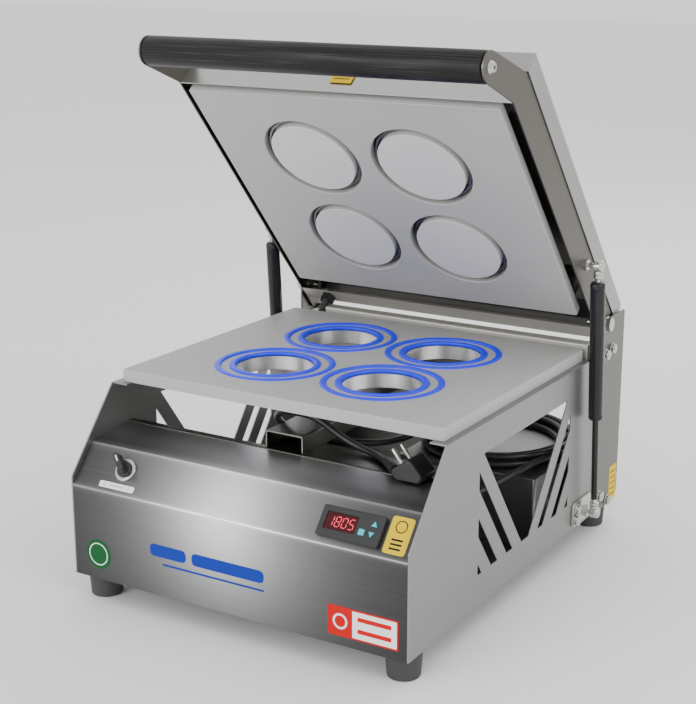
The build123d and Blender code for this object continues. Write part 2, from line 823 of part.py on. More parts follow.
with BuildPart() as frame_bolts:
    for hand in (-1, 1):
        with BuildSketch(side.offset(hand * upright_out)):
            with Locations((stop_y, stop_z)):
                RegularPolygon(small_bolt_flat, 6, major_radius=False)
        extrude(amount=hand * small_bolt_head)
        with BuildSketch(side.offset(hand * upright_out)):
            with Locations((stop_y, stop_z)):
                Circle(stop_radius)
        extrude(amount=-hand * (upright_out - stop_inner))
        with BuildSketch(side.offset(hand * upright_out)):
            with Locations(*fixing_places):
                RegularPolygon(small_bolt_flat, 6, major_radius=False)
        extrude(amount=hand * small_bolt_head)
        with BuildSketch(side.offset(hand * (half_body + bracket_sheet))):
            with Locations(*bracket_bolt_places):
                RegularPolygon(small_bolt_flat, 6, major_radius=False)
        extrude(amount=hand * small_bolt_head)
save(frame_bolts, "frame_bolts")

# ---------------------------------------------------------------- gas springs
lower_ball = Vector(0, front + lower_ball_y, foot_height + lower_ball_z)
upper_ball = lid_point(0, upper_ball_u, upper_ball_v)
spring_span = (upper_ball - lower_ball).length
spring_along = (upper_ball - lower_ball).normalized()
shut_rise = Vector(
    0, hinge_y - upper_ball_u - lower_ball_y, hinge_z + upper_ball_v - lower_ball_z
)
spring_turn = degrees(
    atan2(-shut_rise.Y, shut_rise.Z) - atan2(-spring_along.Y, spring_along.Z)
)
cavity_radius = ball_radius + ball_gap
print(f"gas spring: {spring_span:.1f} open, {shut_rise.length:.1f} shut, turns {spring_turn:.3f} deg")

with BuildPart() as spring_brackets:
    for hand in (-1, 1):
        with BuildSketch(side.offset(hand * half_body)):
            with Locations((lower_ball_y - 12, lower_ball_z + 5)):
                RectangleRounded(58, 32, 5)
        extrude(amount=hand * bracket_sheet)
save(spring_brackets, "spring_brackets")


def ball_stud(start, centre, hand):
    """Ball stud from start, on a face across the machine, out to a ball at centre."""
    foot = Plane(origin=start, x_dir=(0, 1, 0), z_dir=(hand, 0, 0))
    length = abs(centre.X - start.X)
    neck_end = length - (ball_radius ** 2 - stud_neck ** 2) ** 0.5
    with BuildPart() as stud:
        with BuildSketch(Plane(origin=start, x_dir=(hand, 0, 0), z_dir=(0, 1, 0))):
            with BuildLine():
                Polyline((length + ball_radius, 0), (0, 0), (0, stud_neck), (neck_end, stud_neck))
                ThreePointArc(
                    (neck_end, stud_neck), (length, ball_radius), (length + ball_radius, 0)
                )
            make_face()
        revolve(axis=Axis(start, (hand, 0, 0)))
        with BuildSketch(foot):
            RegularPolygon(small_bolt_flat, 6, major_radius=False)
        extrude(amount=stud_hex)
    return stud


def socket(centre, along, hand):
    """Ball socket round centre, open towards the machine, with its shank along the gas spring."""
    mouth_x = -(cavity_radius ** 2 - socket_mouth ** 2) ** 0.5
    rim = socket_radius - socket_edge
    with BuildPart() as housing:
        with BuildSketch(Plane(origin=centre, x_dir=(hand, 0, 0), z_dir=(0, 1, 0))):
            with BuildLine():
                Polyline(
                    (mouth_x, socket_mouth), (-socket_depth, socket_mouth), (-socket_depth, rim),
                    (socket_edge - socket_depth, socket_radius),
                    (socket_back - socket_edge, socket_radius), (socket_back, rim),
                    (socket_back, 0), (cavity_radius, 0),
                )
                ThreePointArc((cavity_radius, 0), (0, cavity_radius), (mouth_x, socket_mouth))
            make_face()
        revolve(axis=Axis(centre, (hand, 0, 0)))
        with BuildSketch(Plane(origin=centre + along * shank_start, x_dir=(1, 0, 0), z_dir=along)):
            Circle(shank_radius)
        extrude(amount=tube_start - shank_start - 5)
    return housing


with BuildPart() as lower_ball_studs:
    for hand in (-1, 1):
        centre = lower_ball + Vector(hand * spring_x, 0, 0)
        start = Vector(hand * (half_body + bracket_sheet), centre.Y, centre.Z)
        add(ball_stud(start, centre, hand).part)
save(lower_ball_studs, "lower_ball_studs")

with BuildPart() as upper_ball_studs:
    for hand in (-1, 1):
        centre = upper_ball + Vector(hand * spring_x, 0, 0)
        start = Vector(hand * skirt_half, centre.Y, centre.Z)
        add(ball_stud(start, centre, hand).part)
        with BuildSketch(lid_side.offset(-hand * skirt_half)):
            with Locations((upper_ball_u, upper_ball_v)):
                Circle(stud_hole_radius - fit_gap)
        extrude(amount=hand * skirt_sheet)
        with BuildSketch(lid_side.offset(-hand * skirt_inner)):
            with Locations((upper_ball_u, upper_ball_v)):
                RegularPolygon(small_bolt_flat, 6, major_radius=False)
        extrude(amount=hand * stud_nut)
save(upper_ball_studs, "upper_ball_studs")

for label, hand in (("left", -1), ("right", 1)):
    upper_centre = upper_ball + Vector(hand * spring_x, 0, 0)
    lower_centre = lower_ball + Vector(hand * spring_x, 0, 0)
    down_tube = Plane(origin=upper_centre, x_dir=(1, 0, 0), z_dir=-spring_along)
    up_rod = Plane(origin=lower_centre, x_dir=(1, 0, 0), z_dir=spring_along)
    with BuildPart() as spring_tube:
        with BuildSketch(down_tube.offset(tube_start)):
            Circle(tube_radius)
        extrude(amount=tube_end - tube_start)
        fillet(spring_tube.edges().filter_by(GeomType.CIRCLE), 1.2)
        with BuildSketch(down_tube.offset(tube_start + 8)):
            Circle(tube_bore)
        extrude(amount=tube_end - tube_start, mode=Mode.SUBTRACT)
        with BuildSketch(down_tube.offset(tube_start - 6)):
            Circle(4)
        extrude(amount=7)
        add(socket(upper_centre, -spring_along, hand).part)
    save(spring_tube, f"gas_spring_tube_{label}")
    with BuildPart() as spring_rod:
        with BuildSketch(up_rod.offset(tube_start - 6)):
            Circle(rod_radius)
        extrude(amount=rod_reach - tube_start + 6)
        add(socket(lower_centre, spring_along, hand).part)
    save(spring_rod, f"gas_spring_rod_{label}")

# ---------------------------------------------------------------- temperature controller
with BuildPart() as controller_case:
    with BuildSketch(panel_face):
        with Locations((controller_x, controller_s)):
            Rectangle(case_width - 2 * fit_gap, case_height - 2 * fit_gap)
    extrude(amount=-case_depth)
save(controller_case, "controller_case")

keys = (
    ("key_set", controller_x + 15.8, controller_s - 4.8, 4),
    ("key_up", controller_x + 28.4, controller_s + 5.8, 3),
    ("key_down", controller_x + 27.7, controller_s - 4.6, 3),
)
key_size = 7.0
key_seat = 2.0                # floor of the key pockets above the panel


def key_outline(x, s, corners, grow):
    """Outline of a key: a square with four corners, or a triangle up or down with three."""
    with Locations((x, s)):
        if corners == 4:
            RectangleRounded(key_size + 2 * grow, key_size + 2 * grow, 1 + grow)
        else:
            RegularPolygon(key_size / 2 + 0.6 + 2 * grow, 3, rotation=90 if s > controller_s else -90)


with BuildPart() as controller_bezel:
    with BuildSketch(panel_face):
        with Locations((controller_x, controller_s)):
            RectangleRounded(bezel_width, bezel_height, 2)
    extrude(amount=bezel_thickness)
    bezel_front = controller_bezel.faces().sort_by(Axis((0, 0, 0), panel_face.z_dir))[-1]
    chamfer(bezel_front.edges(), 1)
    with BuildSketch(panel_face.offset(bezel_thickness)):
        with Locations((window_x, window_s)):
            RectangleRounded(window_width, window_height, 1)
    extrude(amount=-window_thickness - 1, mode=Mode.SUBTRACT)
    for label, key_x, key_s, corners in keys:
        with BuildSketch(panel_face.offset(key_seat)):
            key_outline(key_x, key_s, corners, key_gap)
        extrude(amount=bezel_thickness, mode=Mode.SUBTRACT)
save(controller_bezel, "controller_bezel")

with BuildPart() as controller_window:
    with BuildSketch(panel_face.offset(bezel_thickness - 1)):
        with Locations((window_x, window_s)):
            RectangleRounded(window_width - 2 * fit_gap, window_height - 2 * fit_gap, 1)
    extrude(amount=-window_thickness)
save(controller_window, "controller_window")

for label, key_x, key_s, corners in keys:
    with BuildPart() as key:
        with BuildSketch(panel_face.offset(key_seat + key_travel + key_gap)):
            key_outline(key_x, key_s, corners, 0)
        extrude(amount=bezel_thickness + key_stand - key_seat - key_travel - key_gap)
        key_front = key.faces().sort_by(Axis((0, 0, 0), panel_face.z_dir))[-1]
        fillet(key_front.edges(), 0.5)
    save(key, label)

# ---------------------------------------------------------------- selector switch
with BuildPart() as selector_ring:
    with BuildSketch(panel_face):
        with Locations((switch_x, switch_s)):
            Circle(switch_ring_radius)
            Circle(switch_knob_radius + ball_gap, mode=Mode.SUBTRACT)
    extrude(amount=4)
    ring_front = selector_ring.faces().sort_by(Axis((0, 0, 0), panel_face.z_dir))[-1]
    fillet(ring_front.outer_wire().edges(), 2)
save(selector_ring, "selector_ring")

switch_neck = 14.0
switch_block = (30, 34)       # its side and its length
with BuildPart() as selector_body:
    with BuildSketch(panel_face):
        with Locations((switch_x, switch_s)):
            Circle(switch_hole_radius - fit_gap)
    extrude(amount=-switch_neck)
    with BuildSketch(panel_face.offset(-switch_neck)):
        with Locations((switch_x, switch_s)):
            RectangleRounded(switch_block[0], switch_block[0], 2)
    extrude(amount=-switch_block[1])
save(selector_body, "selector_body")

with BuildPart() as selector_knob:
    with BuildSketch(panel_face.offset(ball_gap)):
        with Locations((switch_x, switch_s)):
            Circle(switch_knob_radius)
    extrude(amount=6.5)
    knob_front = selector_knob.faces().sort_by(Axis((0, 0, 0), panel_face.z_dir))[-1]
    fillet(knob_front.edges(), 1.5)
    with BuildSketch(panel_face.offset(ball_gap + 6)):
        with Locations((switch_x, switch_s)):
            with Locations(Location((-4.5, 4.5, 0), (0, 0, 135))):
                SlotOverall(27, 7.5)
    extrude(amount=10, taper=3)
save(selector_knob, "selector_knob")

# ---------------------------------------------------------------- conduit to the lid
gland_drop = 9.5
conduit_gland_end = lid_point(conduit_lid_x, conduit_lid_u, skirt_low_v - gland_drop)
lid_up = Vector(0, lid_sin, lid_cos)
bend_reach = conduit_bend * tan(radians(open_angle / 2))
conduit_corner = conduit_gland_end - lid_up * (bend_reach + 0.6)
conduit_foot_y = conduit_corner.Y
conduit_foot_z = foot_height + pan_sheet + 20

with BuildPart() as conduit:
    with BuildLine():
        FilletPolyline(
            (conduit_x, conduit_foot_y, conduit_foot_z),
            (conduit_x, conduit_foot_y, foot_height + 150),
            conduit_corner, conduit_gland_end, radius=[100, conduit_bend],
        )
    with BuildSketch(Plane(origin=(conduit_x, conduit_foot_y, conduit_foot_z))):
        Circle(conduit_radius)
    sweep()
save(conduit, "conduit")

with BuildPart() as conduit_fitting_base:
    with BuildSketch(Plane(origin=(conduit_x, conduit_foot_y, foot_height + pan_sheet))):
        RegularPolygon(conduit_gland, 6, major_radius=False)
    extrude(amount=12)
    with BuildSketch(Plane(origin=(conduit_x, conduit_foot_y, foot_height + pan_sheet + 12))):
        Circle(conduit_gland - 0.6)
    extrude(amount=8)
save(conduit_fitting_base, "conduit_fitting_base")

with BuildPart() as conduit_fitting_lid:
    with BuildSketch(lid_level(skirt_low_v)):
        with Locations((conduit_lid_x, -conduit_lid_u)):
            RegularPolygon(conduit_gland, 6, major_radius=False)
    extrude(amount=-gland_drop)
    with BuildSketch(lid_level(skirt_low_v)):
        with Locations((conduit_lid_x, -conduit_lid_u)):
            Circle(conduit_radius - fit_gap)
    extrude(amount=8)
save(conduit_fitting_lid, "conduit_fitting_lid")

# ---------------------------------------------------------------- mains cord
# Route points: x, y back from the face, z above the side plates' bottom edge.
lead_in_route = [
    (150.0, 140.2, 104.0), (150.5, 172.0, 101.5), (155.0, 210.0, 95.0), (165.0, 250.0, 92.0),
    (178.0, 288.0, 95.5), (189.0, 326.0, 101.0), (196.5, 362.0, 103.5), (200.0, 392.0, 104.5),
]
lead_out_route = [
    (24.0, 388.0, 112.0), (22.0, 352.0, 112.5), (12.0, 312.0, 116.0), (-10.0, 276.0, 124.0),
    (-37.0, 244.0, 137.0), (-59.0, 208.0, 155.0), (-57.0, 176.0, 177.0), (-34.0, 156.0, 194.5),
    (-6.0, 148.0, 200.0), (22.0, 147.0, 198.0), (47.0, 149.0, 183.0), (72.0, 150.5, 171.5),
    (98.0, 146.0, 168.0), (121.0, 133.0, 168.4), (137.0, 118.0, 169.9),
]


def cord_path(route):
    """The route in the machine's own axes, and the largest arc radius for each of its corners."""
    places = [Vector(x, front + y, foot_height + z) for x, y, z in route]
    radii = []
    for before, here, after in zip(places, places[1:], places[2:]):
        run_in, run_out = here - before, after - here
        turn = radians(run_in.get_angle(run_out))
        radii.append(0.45 * min(run_in.length, run_out.length) / tan(turn / 2))
    return places, radii


def cord_tube(route, label):
    """A stretch of the cord: straight runs joined by tangent arcs."""
    places, radii = cord_path(route)
    with BuildPart() as tube:
        with BuildLine():
            path = FilletPolyline(*places, radius=radii)
        with BuildSketch(Plane(origin=path @ 0, z_dir=path % 0)):
            Circle(cord_radius)
        sweep()
    length = path.length
    share = tube.part.volume / (pi * cord_radius ** 2 * length)
    print(f"{label}: {length:.0f} long, volume share {share:.4f}, "
          f"radii {', '.join(f'{radius:.0f}' for radius in radii)}")
    save(tube, label)


cord_tube(lead_in_route, "cord_lead_in")
cord_tube(lead_out_route, "cord_lead_out")

with BuildPart() as cord_coil:
    with BuildSketch(level(enclosure_top_z)):
        with Locations((coil_x, coil_y)):
            Circle(coil_outer)
            Circle(coil_inner, mode=Mode.SUBTRACT)
    extrude(amount=coil_height)
    fillet(cord_coil.edges().filter_by(GeomType.CIRCLE), cord_radius)
save(cord_coil, "cord_coil")

gland_foot = 8.0
gland_stub = 10.0             # threaded part inside the control box
gland_plane = Plane(
    origin=(gland_x, front + box_back_y, foot_height + gland_z), x_dir=(1, 0, 0), z_dir=(0, 1, 0)
)
with BuildPart() as cord_gland:
    with BuildSketch(gland_plane):
        RegularPolygon(11, 6, major_radius=False)
    extrude(amount=gland_foot)
    with BuildSketch(gland_plane.offset(gland_foot)):
        Circle(cord_radius + 4.5)
    extrude(amount=gland_length - gland_foot, taper=6)
    with BuildSketch(gland_plane):
        Circle(cord_radius + 2.8)
    extrude(amount=-gland_stub)
save(cord_gland, "cord_gland")

plug_base_z = box_back_z + 0.2
plug_width = 34.0
pin_radius = 2.4
pin_pitch = 19.0
pin_length = 19.0
plug_outlet = 28.0
plug_side = Plane(
    origin=(0, front + plug_y, foot_height + plug_base_z), x_dir=(1, 0, 0), z_dir=(0, -1, 0)
)
face_low, face_high = (plug_x - 20, 9.5), (plug_x + 4, 28.0)
face_middle = ((face_low[0] + face_high[0]) / 2, (face_low[1] + face_high[1]) / 2)
face_run = (face_high[0] - face_low[0], face_high[1] - face_low[1])
pin_plane = Plane(
    origin=plug_side.from_local_coords((face_middle[0], face_middle[1], 0)),
    x_dir=(0, 1, 0),
    z_dir=(-face_run[1] / hypot(*face_run), 0, face_run[0] / hypot(*face_run)),
)
lead_end = cord_path(lead_out_route)[0]
entry = Plane(origin=lead_end[-1], z_dir=lead_end[-1] - lead_end[-2])
with BuildPart() as mains_plug:
    with BuildSketch(plug_side):
        with BuildLine():
            Polyline(
                (plug_x - 14, 0), (plug_x + 19, 0), (plug_x + 23, 8), face_high, face_low,
                close=True,
            )
        make_face()
    extrude(amount=plug_width / 2, both=True)
    fillet(mains_plug.edges(), 2.5)
    with BuildSketch(pin_plane):
        with GridLocations(pin_pitch, 1, 2, 1):
            Circle(pin_radius)
    extrude(amount=pin_length)
    with BuildSketch(entry):
        Circle(cord_radius + 1.8)
    extrude(amount=plug_outlet)
save(mains_plug, "mains_plug")

total = sum(
    sum((b - a).length for a, b in zip(places, places[1:]))
    for places in (cord_path(lead_in_route)[0], lead_end)
)
print(f"cord runs outside the coil add up to {total:.0f}")
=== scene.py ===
# %% [markdown]
# # A bench-top cup sealing machine
# The machine is sheet steel round a flat tray with four cup places. A heavy press lid stands open
# behind it on two gas springs. The frame of the machine comes in ready made; this script gives it
# its finishes, and adds the pieces that need a softer or finer shape.

# %% The frame comes in
import json
import math

import bmesh
import bpy
import numpy as np
from mathutils import Matrix, Vector


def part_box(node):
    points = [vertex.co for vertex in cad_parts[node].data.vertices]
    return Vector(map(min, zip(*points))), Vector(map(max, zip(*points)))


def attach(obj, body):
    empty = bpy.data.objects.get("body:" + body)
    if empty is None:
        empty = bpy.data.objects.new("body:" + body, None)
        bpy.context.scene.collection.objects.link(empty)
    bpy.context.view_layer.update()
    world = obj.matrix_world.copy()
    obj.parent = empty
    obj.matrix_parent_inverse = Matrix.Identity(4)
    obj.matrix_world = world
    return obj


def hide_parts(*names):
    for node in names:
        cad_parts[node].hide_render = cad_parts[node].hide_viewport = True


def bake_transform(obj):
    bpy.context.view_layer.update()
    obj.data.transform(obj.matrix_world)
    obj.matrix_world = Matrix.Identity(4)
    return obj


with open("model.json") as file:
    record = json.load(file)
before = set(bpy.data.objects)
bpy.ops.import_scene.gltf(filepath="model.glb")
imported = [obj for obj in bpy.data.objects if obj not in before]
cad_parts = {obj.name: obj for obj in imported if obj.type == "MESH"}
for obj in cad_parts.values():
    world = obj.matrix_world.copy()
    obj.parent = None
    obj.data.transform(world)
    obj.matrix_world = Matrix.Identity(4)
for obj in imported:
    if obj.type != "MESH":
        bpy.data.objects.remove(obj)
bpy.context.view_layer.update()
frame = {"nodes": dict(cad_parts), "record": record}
nodes = frame["nodes"]
MM = 0.001
plate_low, plate_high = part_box("side_plate_right")
face_y = plate_low[1]
base_z = plate_low[2]


def place(x, y, z):
    """Millimetres across, back from the control panel's face and up from the plates, in metres."""
    return np.array((x * MM, face_y + y * MM, base_z + z * MM))


# %% [markdown]
# ## Camera, floor and light
# A long lens keeps the machine's straight edges nearly parallel. The machine stands on a pale floor
# that is far wider than it, under large soft lamps, because sheet steel shows whatever is round it.

# %% Camera
azimuth = math.radians(30.24)
elevation = math.radians(15.29)
roll = math.radians(0.35)
distance = 1.877
target = Vector(place(5.8, 328.3, 232.8))
away = Vector((
    math.sin(azimuth) * math.cos(elevation),
    -math.cos(azimuth) * math.cos(elevation),
    math.sin(elevation),
))
camera_data = bpy.data.cameras.new("camera")
camera_data.sensor_width = 36.0
camera_data.lens = 75.4
camera_data.shift_x = -0.05
camera = bpy.data.objects.new("camera", camera_data)
bpy.context.scene.collection.objects.link(camera)
facing = away.to_track_quat("Z", "Y").to_matrix().to_4x4() @ Matrix.Rotation(roll, 4, "Z")
camera.matrix_world = Matrix.Translation(target + away * distance) @ facing
bpy.context.scene.camera = camera
print("camera stands at", tuple(round(value, 3) for value in camera.location))

# %% [markdown]
# ## Shader maths as plain sums
# A finish is a small graph of nodes. The class below wraps one output socket so that `1 - mask` or
# `grain * 0.2 + 0.4` adds the Math nodes by itself, and one method adds every other kind of node.


# %% Sockets that can be added and multiplied
class Signal:
    """One output socket of a finish's graph, for use in sums."""

    def __init__(self, finish, socket):
        self.finish = finish
        self.socket = socket

    def sum(self, operation, first, second=0.0):
        """A Math node on two values."""
        made = self.finish.node(
            "ShaderNodeMath", {"operation": operation}, {0: first, 1: second}
        )
        return Signal(self.finish, made.outputs[0])

    def __add__(self, other):
        return self.sum("ADD", self, other)

    def __sub__(self, other):
        return self.sum("SUBTRACT", self, other)

    def __rsub__(self, other):
        return self.sum("SUBTRACT", other, self)

    def __mul__(self, other):
        return self.sum("MULTIPLY", self, other)

    def __truediv__(self, other):
        return self.sum("DIVIDE", self, other)

    def __rtruediv__(self, other):
        return self.sum("DIVIDE", other, self)

    def __pow__(self, other):
        return self.sum("POWER", self, other)

    __radd__ = __add__
    __rmul__ = __mul__


class Finish:
    """A material whose graph is written as sums."""

    def __init__(self, name):
        self.material = bpy.data.materials.new(name)
        self.material.use_nodes = True
        self.tree = self.material.node_tree
        self.tree.nodes.clear()
        self.shader = self.node("ShaderNodeBsdfPrincipled")
        self.node("ShaderNodeOutputMaterial", None, {"Surface": self.shader.outputs[0]})

    def node(self, kind, settings=None, sockets=None):
        """Adds a node, sets it, then feeds its sockets with values or links."""
        made = self.tree.nodes.new(kind)
        for key, value in (settings or {}).items():
            if key == "stops":
                ramp = made.color_ramp
                for number, (where, color) in enumerate(value):
                    stop = ramp.elements[number] if number < 2 else ramp.elements.new(where)
                    stop.position = where
                    stop.color = color
            else:
                setattr(made, key, value)
        for key, value in (sockets or {}).items():
            self.feed(made.inputs[key], value)
        return made

    def feed(self, socket, value):
        """Links a signal to a socket, or writes a number or colour into it."""
        if isinstance(value, Signal):
            self.tree.links.new(value.socket, socket)
        elif isinstance(value, bpy.types.NodeSocket):
            self.tree.links.new(value, socket)
        else:
            socket.default_value = value

    def give(self, **values):
        """Feeds the main shader; an underscore stands for a space."""
        for key, value in values.items():
            self.feed(self.shader.inputs[key.replace("_", " ")], value)

    def where(self, scale=(1, 1, 1)):
        """Object coordinates, stretched by a factor for each axis."""
        coordinates = self.node("ShaderNodeTexCoord")
        mapping = self.node(
            "ShaderNodeMapping", None, {"Vector": coordinates.outputs["Object"], "Scale": scale}
        )
        return mapping.outputs[0]

    def noise(self, scale, stretch=(1, 1, 1), detail=3.0, rough=0.55):
        """Cloudy pattern from 0 to 1; scale counts its lumps in a metre."""
        made = self.node(
            "ShaderNodeTexNoise", None,
            {"Vector": self.where(stretch), "Scale": scale, "Detail": detail, "Roughness": rough},
        )
        return Signal(self, made.outputs[0])

    def axis(self, name):
        """One object coordinate, in metres."""
        parts = self.node("ShaderNodeSeparateXYZ", None, {0: self.where()})
        return Signal(self, parts.outputs[name])

    def ramp(self, value, low, high):
        """Runs smoothly from 0 at low to 1 at high."""
        made = self.node(
            "ShaderNodeMapRange", {"interpolation_type": "SMOOTHSTEP"},
            {"Value": value, "From Min": low, "From Max": high},
        )
        return Signal(self, made.outputs[0])

    def blend(self, mask, first, second):
        """Mixes two colours by a mask."""
        made = self.node("ShaderNodeMix", {"data_type": "RGBA"}, {0: mask, 6: first, 7: second})
        return Signal(self, made.outputs[2])

    def tint(self, color, value):
        """A colour made lighter or darker by a value round 1."""
        grey = self.node("ShaderNodeCombineXYZ", None, {0: value, 1: value, 2: value})
        made = self.node(
            "ShaderNodeMix", {"data_type": "RGBA", "blend_type": "MULTIPLY"},
            {0: 1.0, 6: color, 7: Signal(self, grey.outputs[0])},
        )
        return Signal(self, made.outputs[2])

    def bump(self, height, depth, strength=1.0):
        """Feeds a height pattern to the shader's normal; depth is in metres."""
        made = self.node(
            "ShaderNodeBump", None, {"Height": height, "Distance": depth, "Strength": strength}
        )
        self.feed(self.shader.inputs["Normal"], made.outputs[0])


# %% [markdown]
# ## Finishes
# Nearly every sheet is stainless steel with a satin grain from the rolling mill, so one function
# makes them all: fine scratches along the grain change its gloss, and soft patches its tone.

# %% Satin steel
FINE = 900.0
LONG = 12.0


def satin_steel(name, tone, grain, roughness=0.34, patches=0.10, scratches=0.10, metallic=1.0):
    """Rolled stainless sheet: a noise squeezed across the grain, which runs along one axis."""
    finish = Finish(name)
    stretch = tuple(LONG if letter == grain else FINE for letter in "XYZ")
    fine = finish.noise(1.0, stretch, detail=2.0)
    coarse = finish.noise(0.12, stretch, detail=2.0)
    patch = finish.noise(5.0, detail=2.0)
    level = (fine - 0.5) * scratches + (coarse - 0.5) * scratches + (patch - 0.5) * patches * 2 + 1.0
    finish.give(
        Base_Color=finish.tint((*tone, 1.0), level),
        Metallic=metallic,
        Roughness=(fine - 0.5) * 0.12 + (patch - 0.5) * 0.10 + roughness,
    )
    finish.bump(fine, 0.00004, 0.35)
    return finish


# The darker tones here are painted shade: the uprights, the lid's sides, the inner rails and the floor
# pan get the same steel made darker for the shade they stand in.
plate_steel = satin_steel("plate_steel", (0.31, 0.31, 0.305), "Y", 0.42)
upright_steel = satin_steel("upright_steel", (0.165, 0.16, 0.145), "Z", 0.34)
lid_steel = satin_steel("lid_steel", (0.145, 0.135, 0.12), "Y", 0.40)
shell_steel = satin_steel("shell_steel", (0.38, 0.38, 0.375), "X", 0.36)
strip_steel = satin_steel("strip_steel", (0.50, 0.50, 0.49), "X", 0.30)
shaded_steel = satin_steel("shaded_steel", (0.17, 0.165, 0.15), "X", 0.32)
inner_steel = satin_steel("inner_steel", (0.50, 0.485, 0.45), "X", 0.48, metallic=0.6)

# %% [markdown]
# The control panel is brushed along its length. Round the middle of its lower fold a broad soft sheen is
# painted into its colour, falling off to dark ends: a painted highlight. Thin painted highlights also run
# along its two folds and its top edge.

# %% Brushed control panel with a painted sheen
# Where the painted sheen sits and how far it spreads; the fold heights and the top edge carry thin
# painted highlights.
painted_sheen_middle = place(-13.0, 0.0, 113.3)
painted_sheen_width = 0.080
painted_sheen_height = 0.090
fold_heights = (place(0.0, 0.0, 113.0)[2], place(0.0, 0.0, 156.9)[2])
painted_fold_glint = 0.0012
painted_top_edge_height = place(0.0, 0.0, 157.5)[2]


def brushed_panel():
    """Steel brushed along X, with fine streaks; a sheen round one place and glints on the folds and top
    are painted.
    """
    finish = satin_steel("brushed_panel", (0.3, 0.3, 0.3), "X", 0.36, patches=0.05, scratches=0.05)
    across = (finish.axis("X") - float(painted_sheen_middle[0])) / painted_sheen_width
    back = (finish.axis("Y") - float(painted_sheen_middle[1])) / (painted_sheen_height * 2)
    rise = (finish.axis("Z") - float(painted_sheen_middle[2])) / painted_sheen_height
    painted_sheen_amount = 1.0 / (across * across + back * back + rise * rise + 1.0)
    streak = finish.noise(0.5, (LONG, FINE, FINE), detail=2.0)
    top = finish.ramp(finish.axis("Z"), float(painted_top_edge_height), float(painted_top_edge_height) + 0.003)
    # Painted light: the sheen, the bright top edge and the thin glints along both folds are painted into
    # the colour; the streaks are the real brushing.
    level = painted_sheen_amount ** 1.4 * 2.0 + 0.075 + top * 0.70 + (streak - 0.5) * 0.06
    for height in fold_heights:
        off = (finish.axis("Z") - float(height)) / painted_fold_glint
        level = level + 1.0 / (off * off + 1.0) * (painted_sheen_amount + 0.35)
    finish.give(Base_Color=finish.tint((0.44, 0.44, 0.445, 1.0), level))
    return finish


panel_steel = brushed_panel()

# %% [markdown]
# The tray and the press plate have a matte grey coating with a fine grain, like cast plate that was
# blasted and sealed. The coating is a little glossier where cups and hands have rubbed it.

# %% Coated plate


def coated_plate(name, tone, roughness):
    """Matte coating: fine pits as bump, broad cloudy wear in tone and gloss."""
    finish = Finish(name)
    grain = finish.noise(1400.0, detail=2.0)
    cloud = finish.noise(7.0, detail=4.0)
    rub = finish.noise(30.0, (1.0, 0.3, 1.0), detail=3.0)
    level = (grain - 0.5) * 0.10 + (cloud - 0.5) * 0.10 + (rub - 0.5) * 0.05 + 1.0
    finish.give(
        Base_Color=finish.tint((*tone, 1.0), level),
        Roughness=(cloud - 0.5) * 0.15 + (rub - 0.5) * 0.12 + roughness,
        Metallic=0.1,
    )
    finish.bump(grain, 0.00006, 0.5)
    return finish


tray_coat = coated_plate("tray_coat", (0.44, 0.44, 0.43), 0.52)
press_coat = coated_plate("press_coat", (0.42, 0.42, 0.41), 0.50)
disc_coat = coated_plate("disc_coat", (0.62, 0.62, 0.61), 0.46)

# %% [markdown]
# Turned aluminium and ground steel show fine rings round their own axis, so the pattern there is a
# noise on the height and on the distance from the middle of the nearest cup place.

# %% Turned metal, zinc and paint


def turned_metal(name, tone, roughness):
    """Satin turned metal: fine lines round the vertical axis, made by a noise squeezed in Z."""
    finish = Finish(name)
    lines = finish.noise(1.0, (40.0, 40.0, 2600.0), detail=2.0)
    cloud = finish.noise(25.0)
    level = (lines - 0.5) * 0.22 + (cloud - 0.5) * 0.20 + 1.0
    finish.give(
        Base_Color=finish.tint((*tone, 1.0), level),
        Metallic=1.0,
        Roughness=(lines - 0.5) * 0.18 + roughness,
    )
    finish.bump(lines, 0.00005, 0.4)
    return finish


def zinc_plate():
    """Bright zinc on fasteners: mirror-like, with a cloudy bloom."""
    finish = Finish("bright_zinc")
    bloom = finish.noise(260.0, detail=4.0)
    level = (bloom - 0.5) * 0.30 + 1.0
    finish.give(
        Base_Color=finish.tint((0.55, 0.55, 0.52, 1.0), level),
        Metallic=1.0,
        Roughness=bloom * 0.18 + 0.08,
    )
    finish.bump(bloom, 0.00008, 0.3)
    return finish


def black_paint():
    """Satin black paint of the gas springs, with a faint orange-peel skin."""
    finish = Finish("black_paint")
    peel = finish.noise(420.0, detail=1.0)
    dust = finish.noise(60.0, detail=5.0)
    finish.give(
        Base_Color=finish.tint((0.010, 0.010, 0.011, 1.0), (dust - 0.5) * 0.3 + 1.0),
        Roughness=(dust - 0.5) * 0.08 + 0.17,
        Coat_Weight=dust * 0.15,
        Specular_IOR_Level=0.35,
    )
    finish.bump(peel, 0.00012, 0.25)
    return finish


collar_metal = turned_metal("collar_metal", (0.85, 0.85, 0.84), 0.34)
cutter_metal = turned_metal("cutter_metal", (0.26, 0.25, 0.23), 0.34)
bright_zinc = zinc_plate()
black_coat = black_paint()

# %% [markdown]
# The handle's black sleeve has been turned and handled: pale hair-fine scratches run along it.

# %% Handle, rubber and plastics


def handle_sleeve():
    """Black plastic sleeve: streaks stretched along X lighten the colour and break the gloss."""
    finish = Finish("handle_sleeve")
    streak = finish.noise(1.0, (9.0, 520.0, 520.0), detail=5.0, rough=0.65)
    dust = finish.noise(45.0, (0.4, 1.0, 1.0), detail=4.0)
    worn = finish.ramp(streak, 0.48, 0.72)
    finish.give(
        Base_Color=finish.blend(worn, (0.006, 0.006, 0.006, 1.0), (0.036, 0.036, 0.035, 1.0)),
        Specular_IOR_Level=0.25,
        Roughness=(dust - 0.5) * 0.25 + (streak - 0.5) * 0.2 + 0.42,
    )
    finish.bump(streak, 0.0002, 0.30)
    return finish


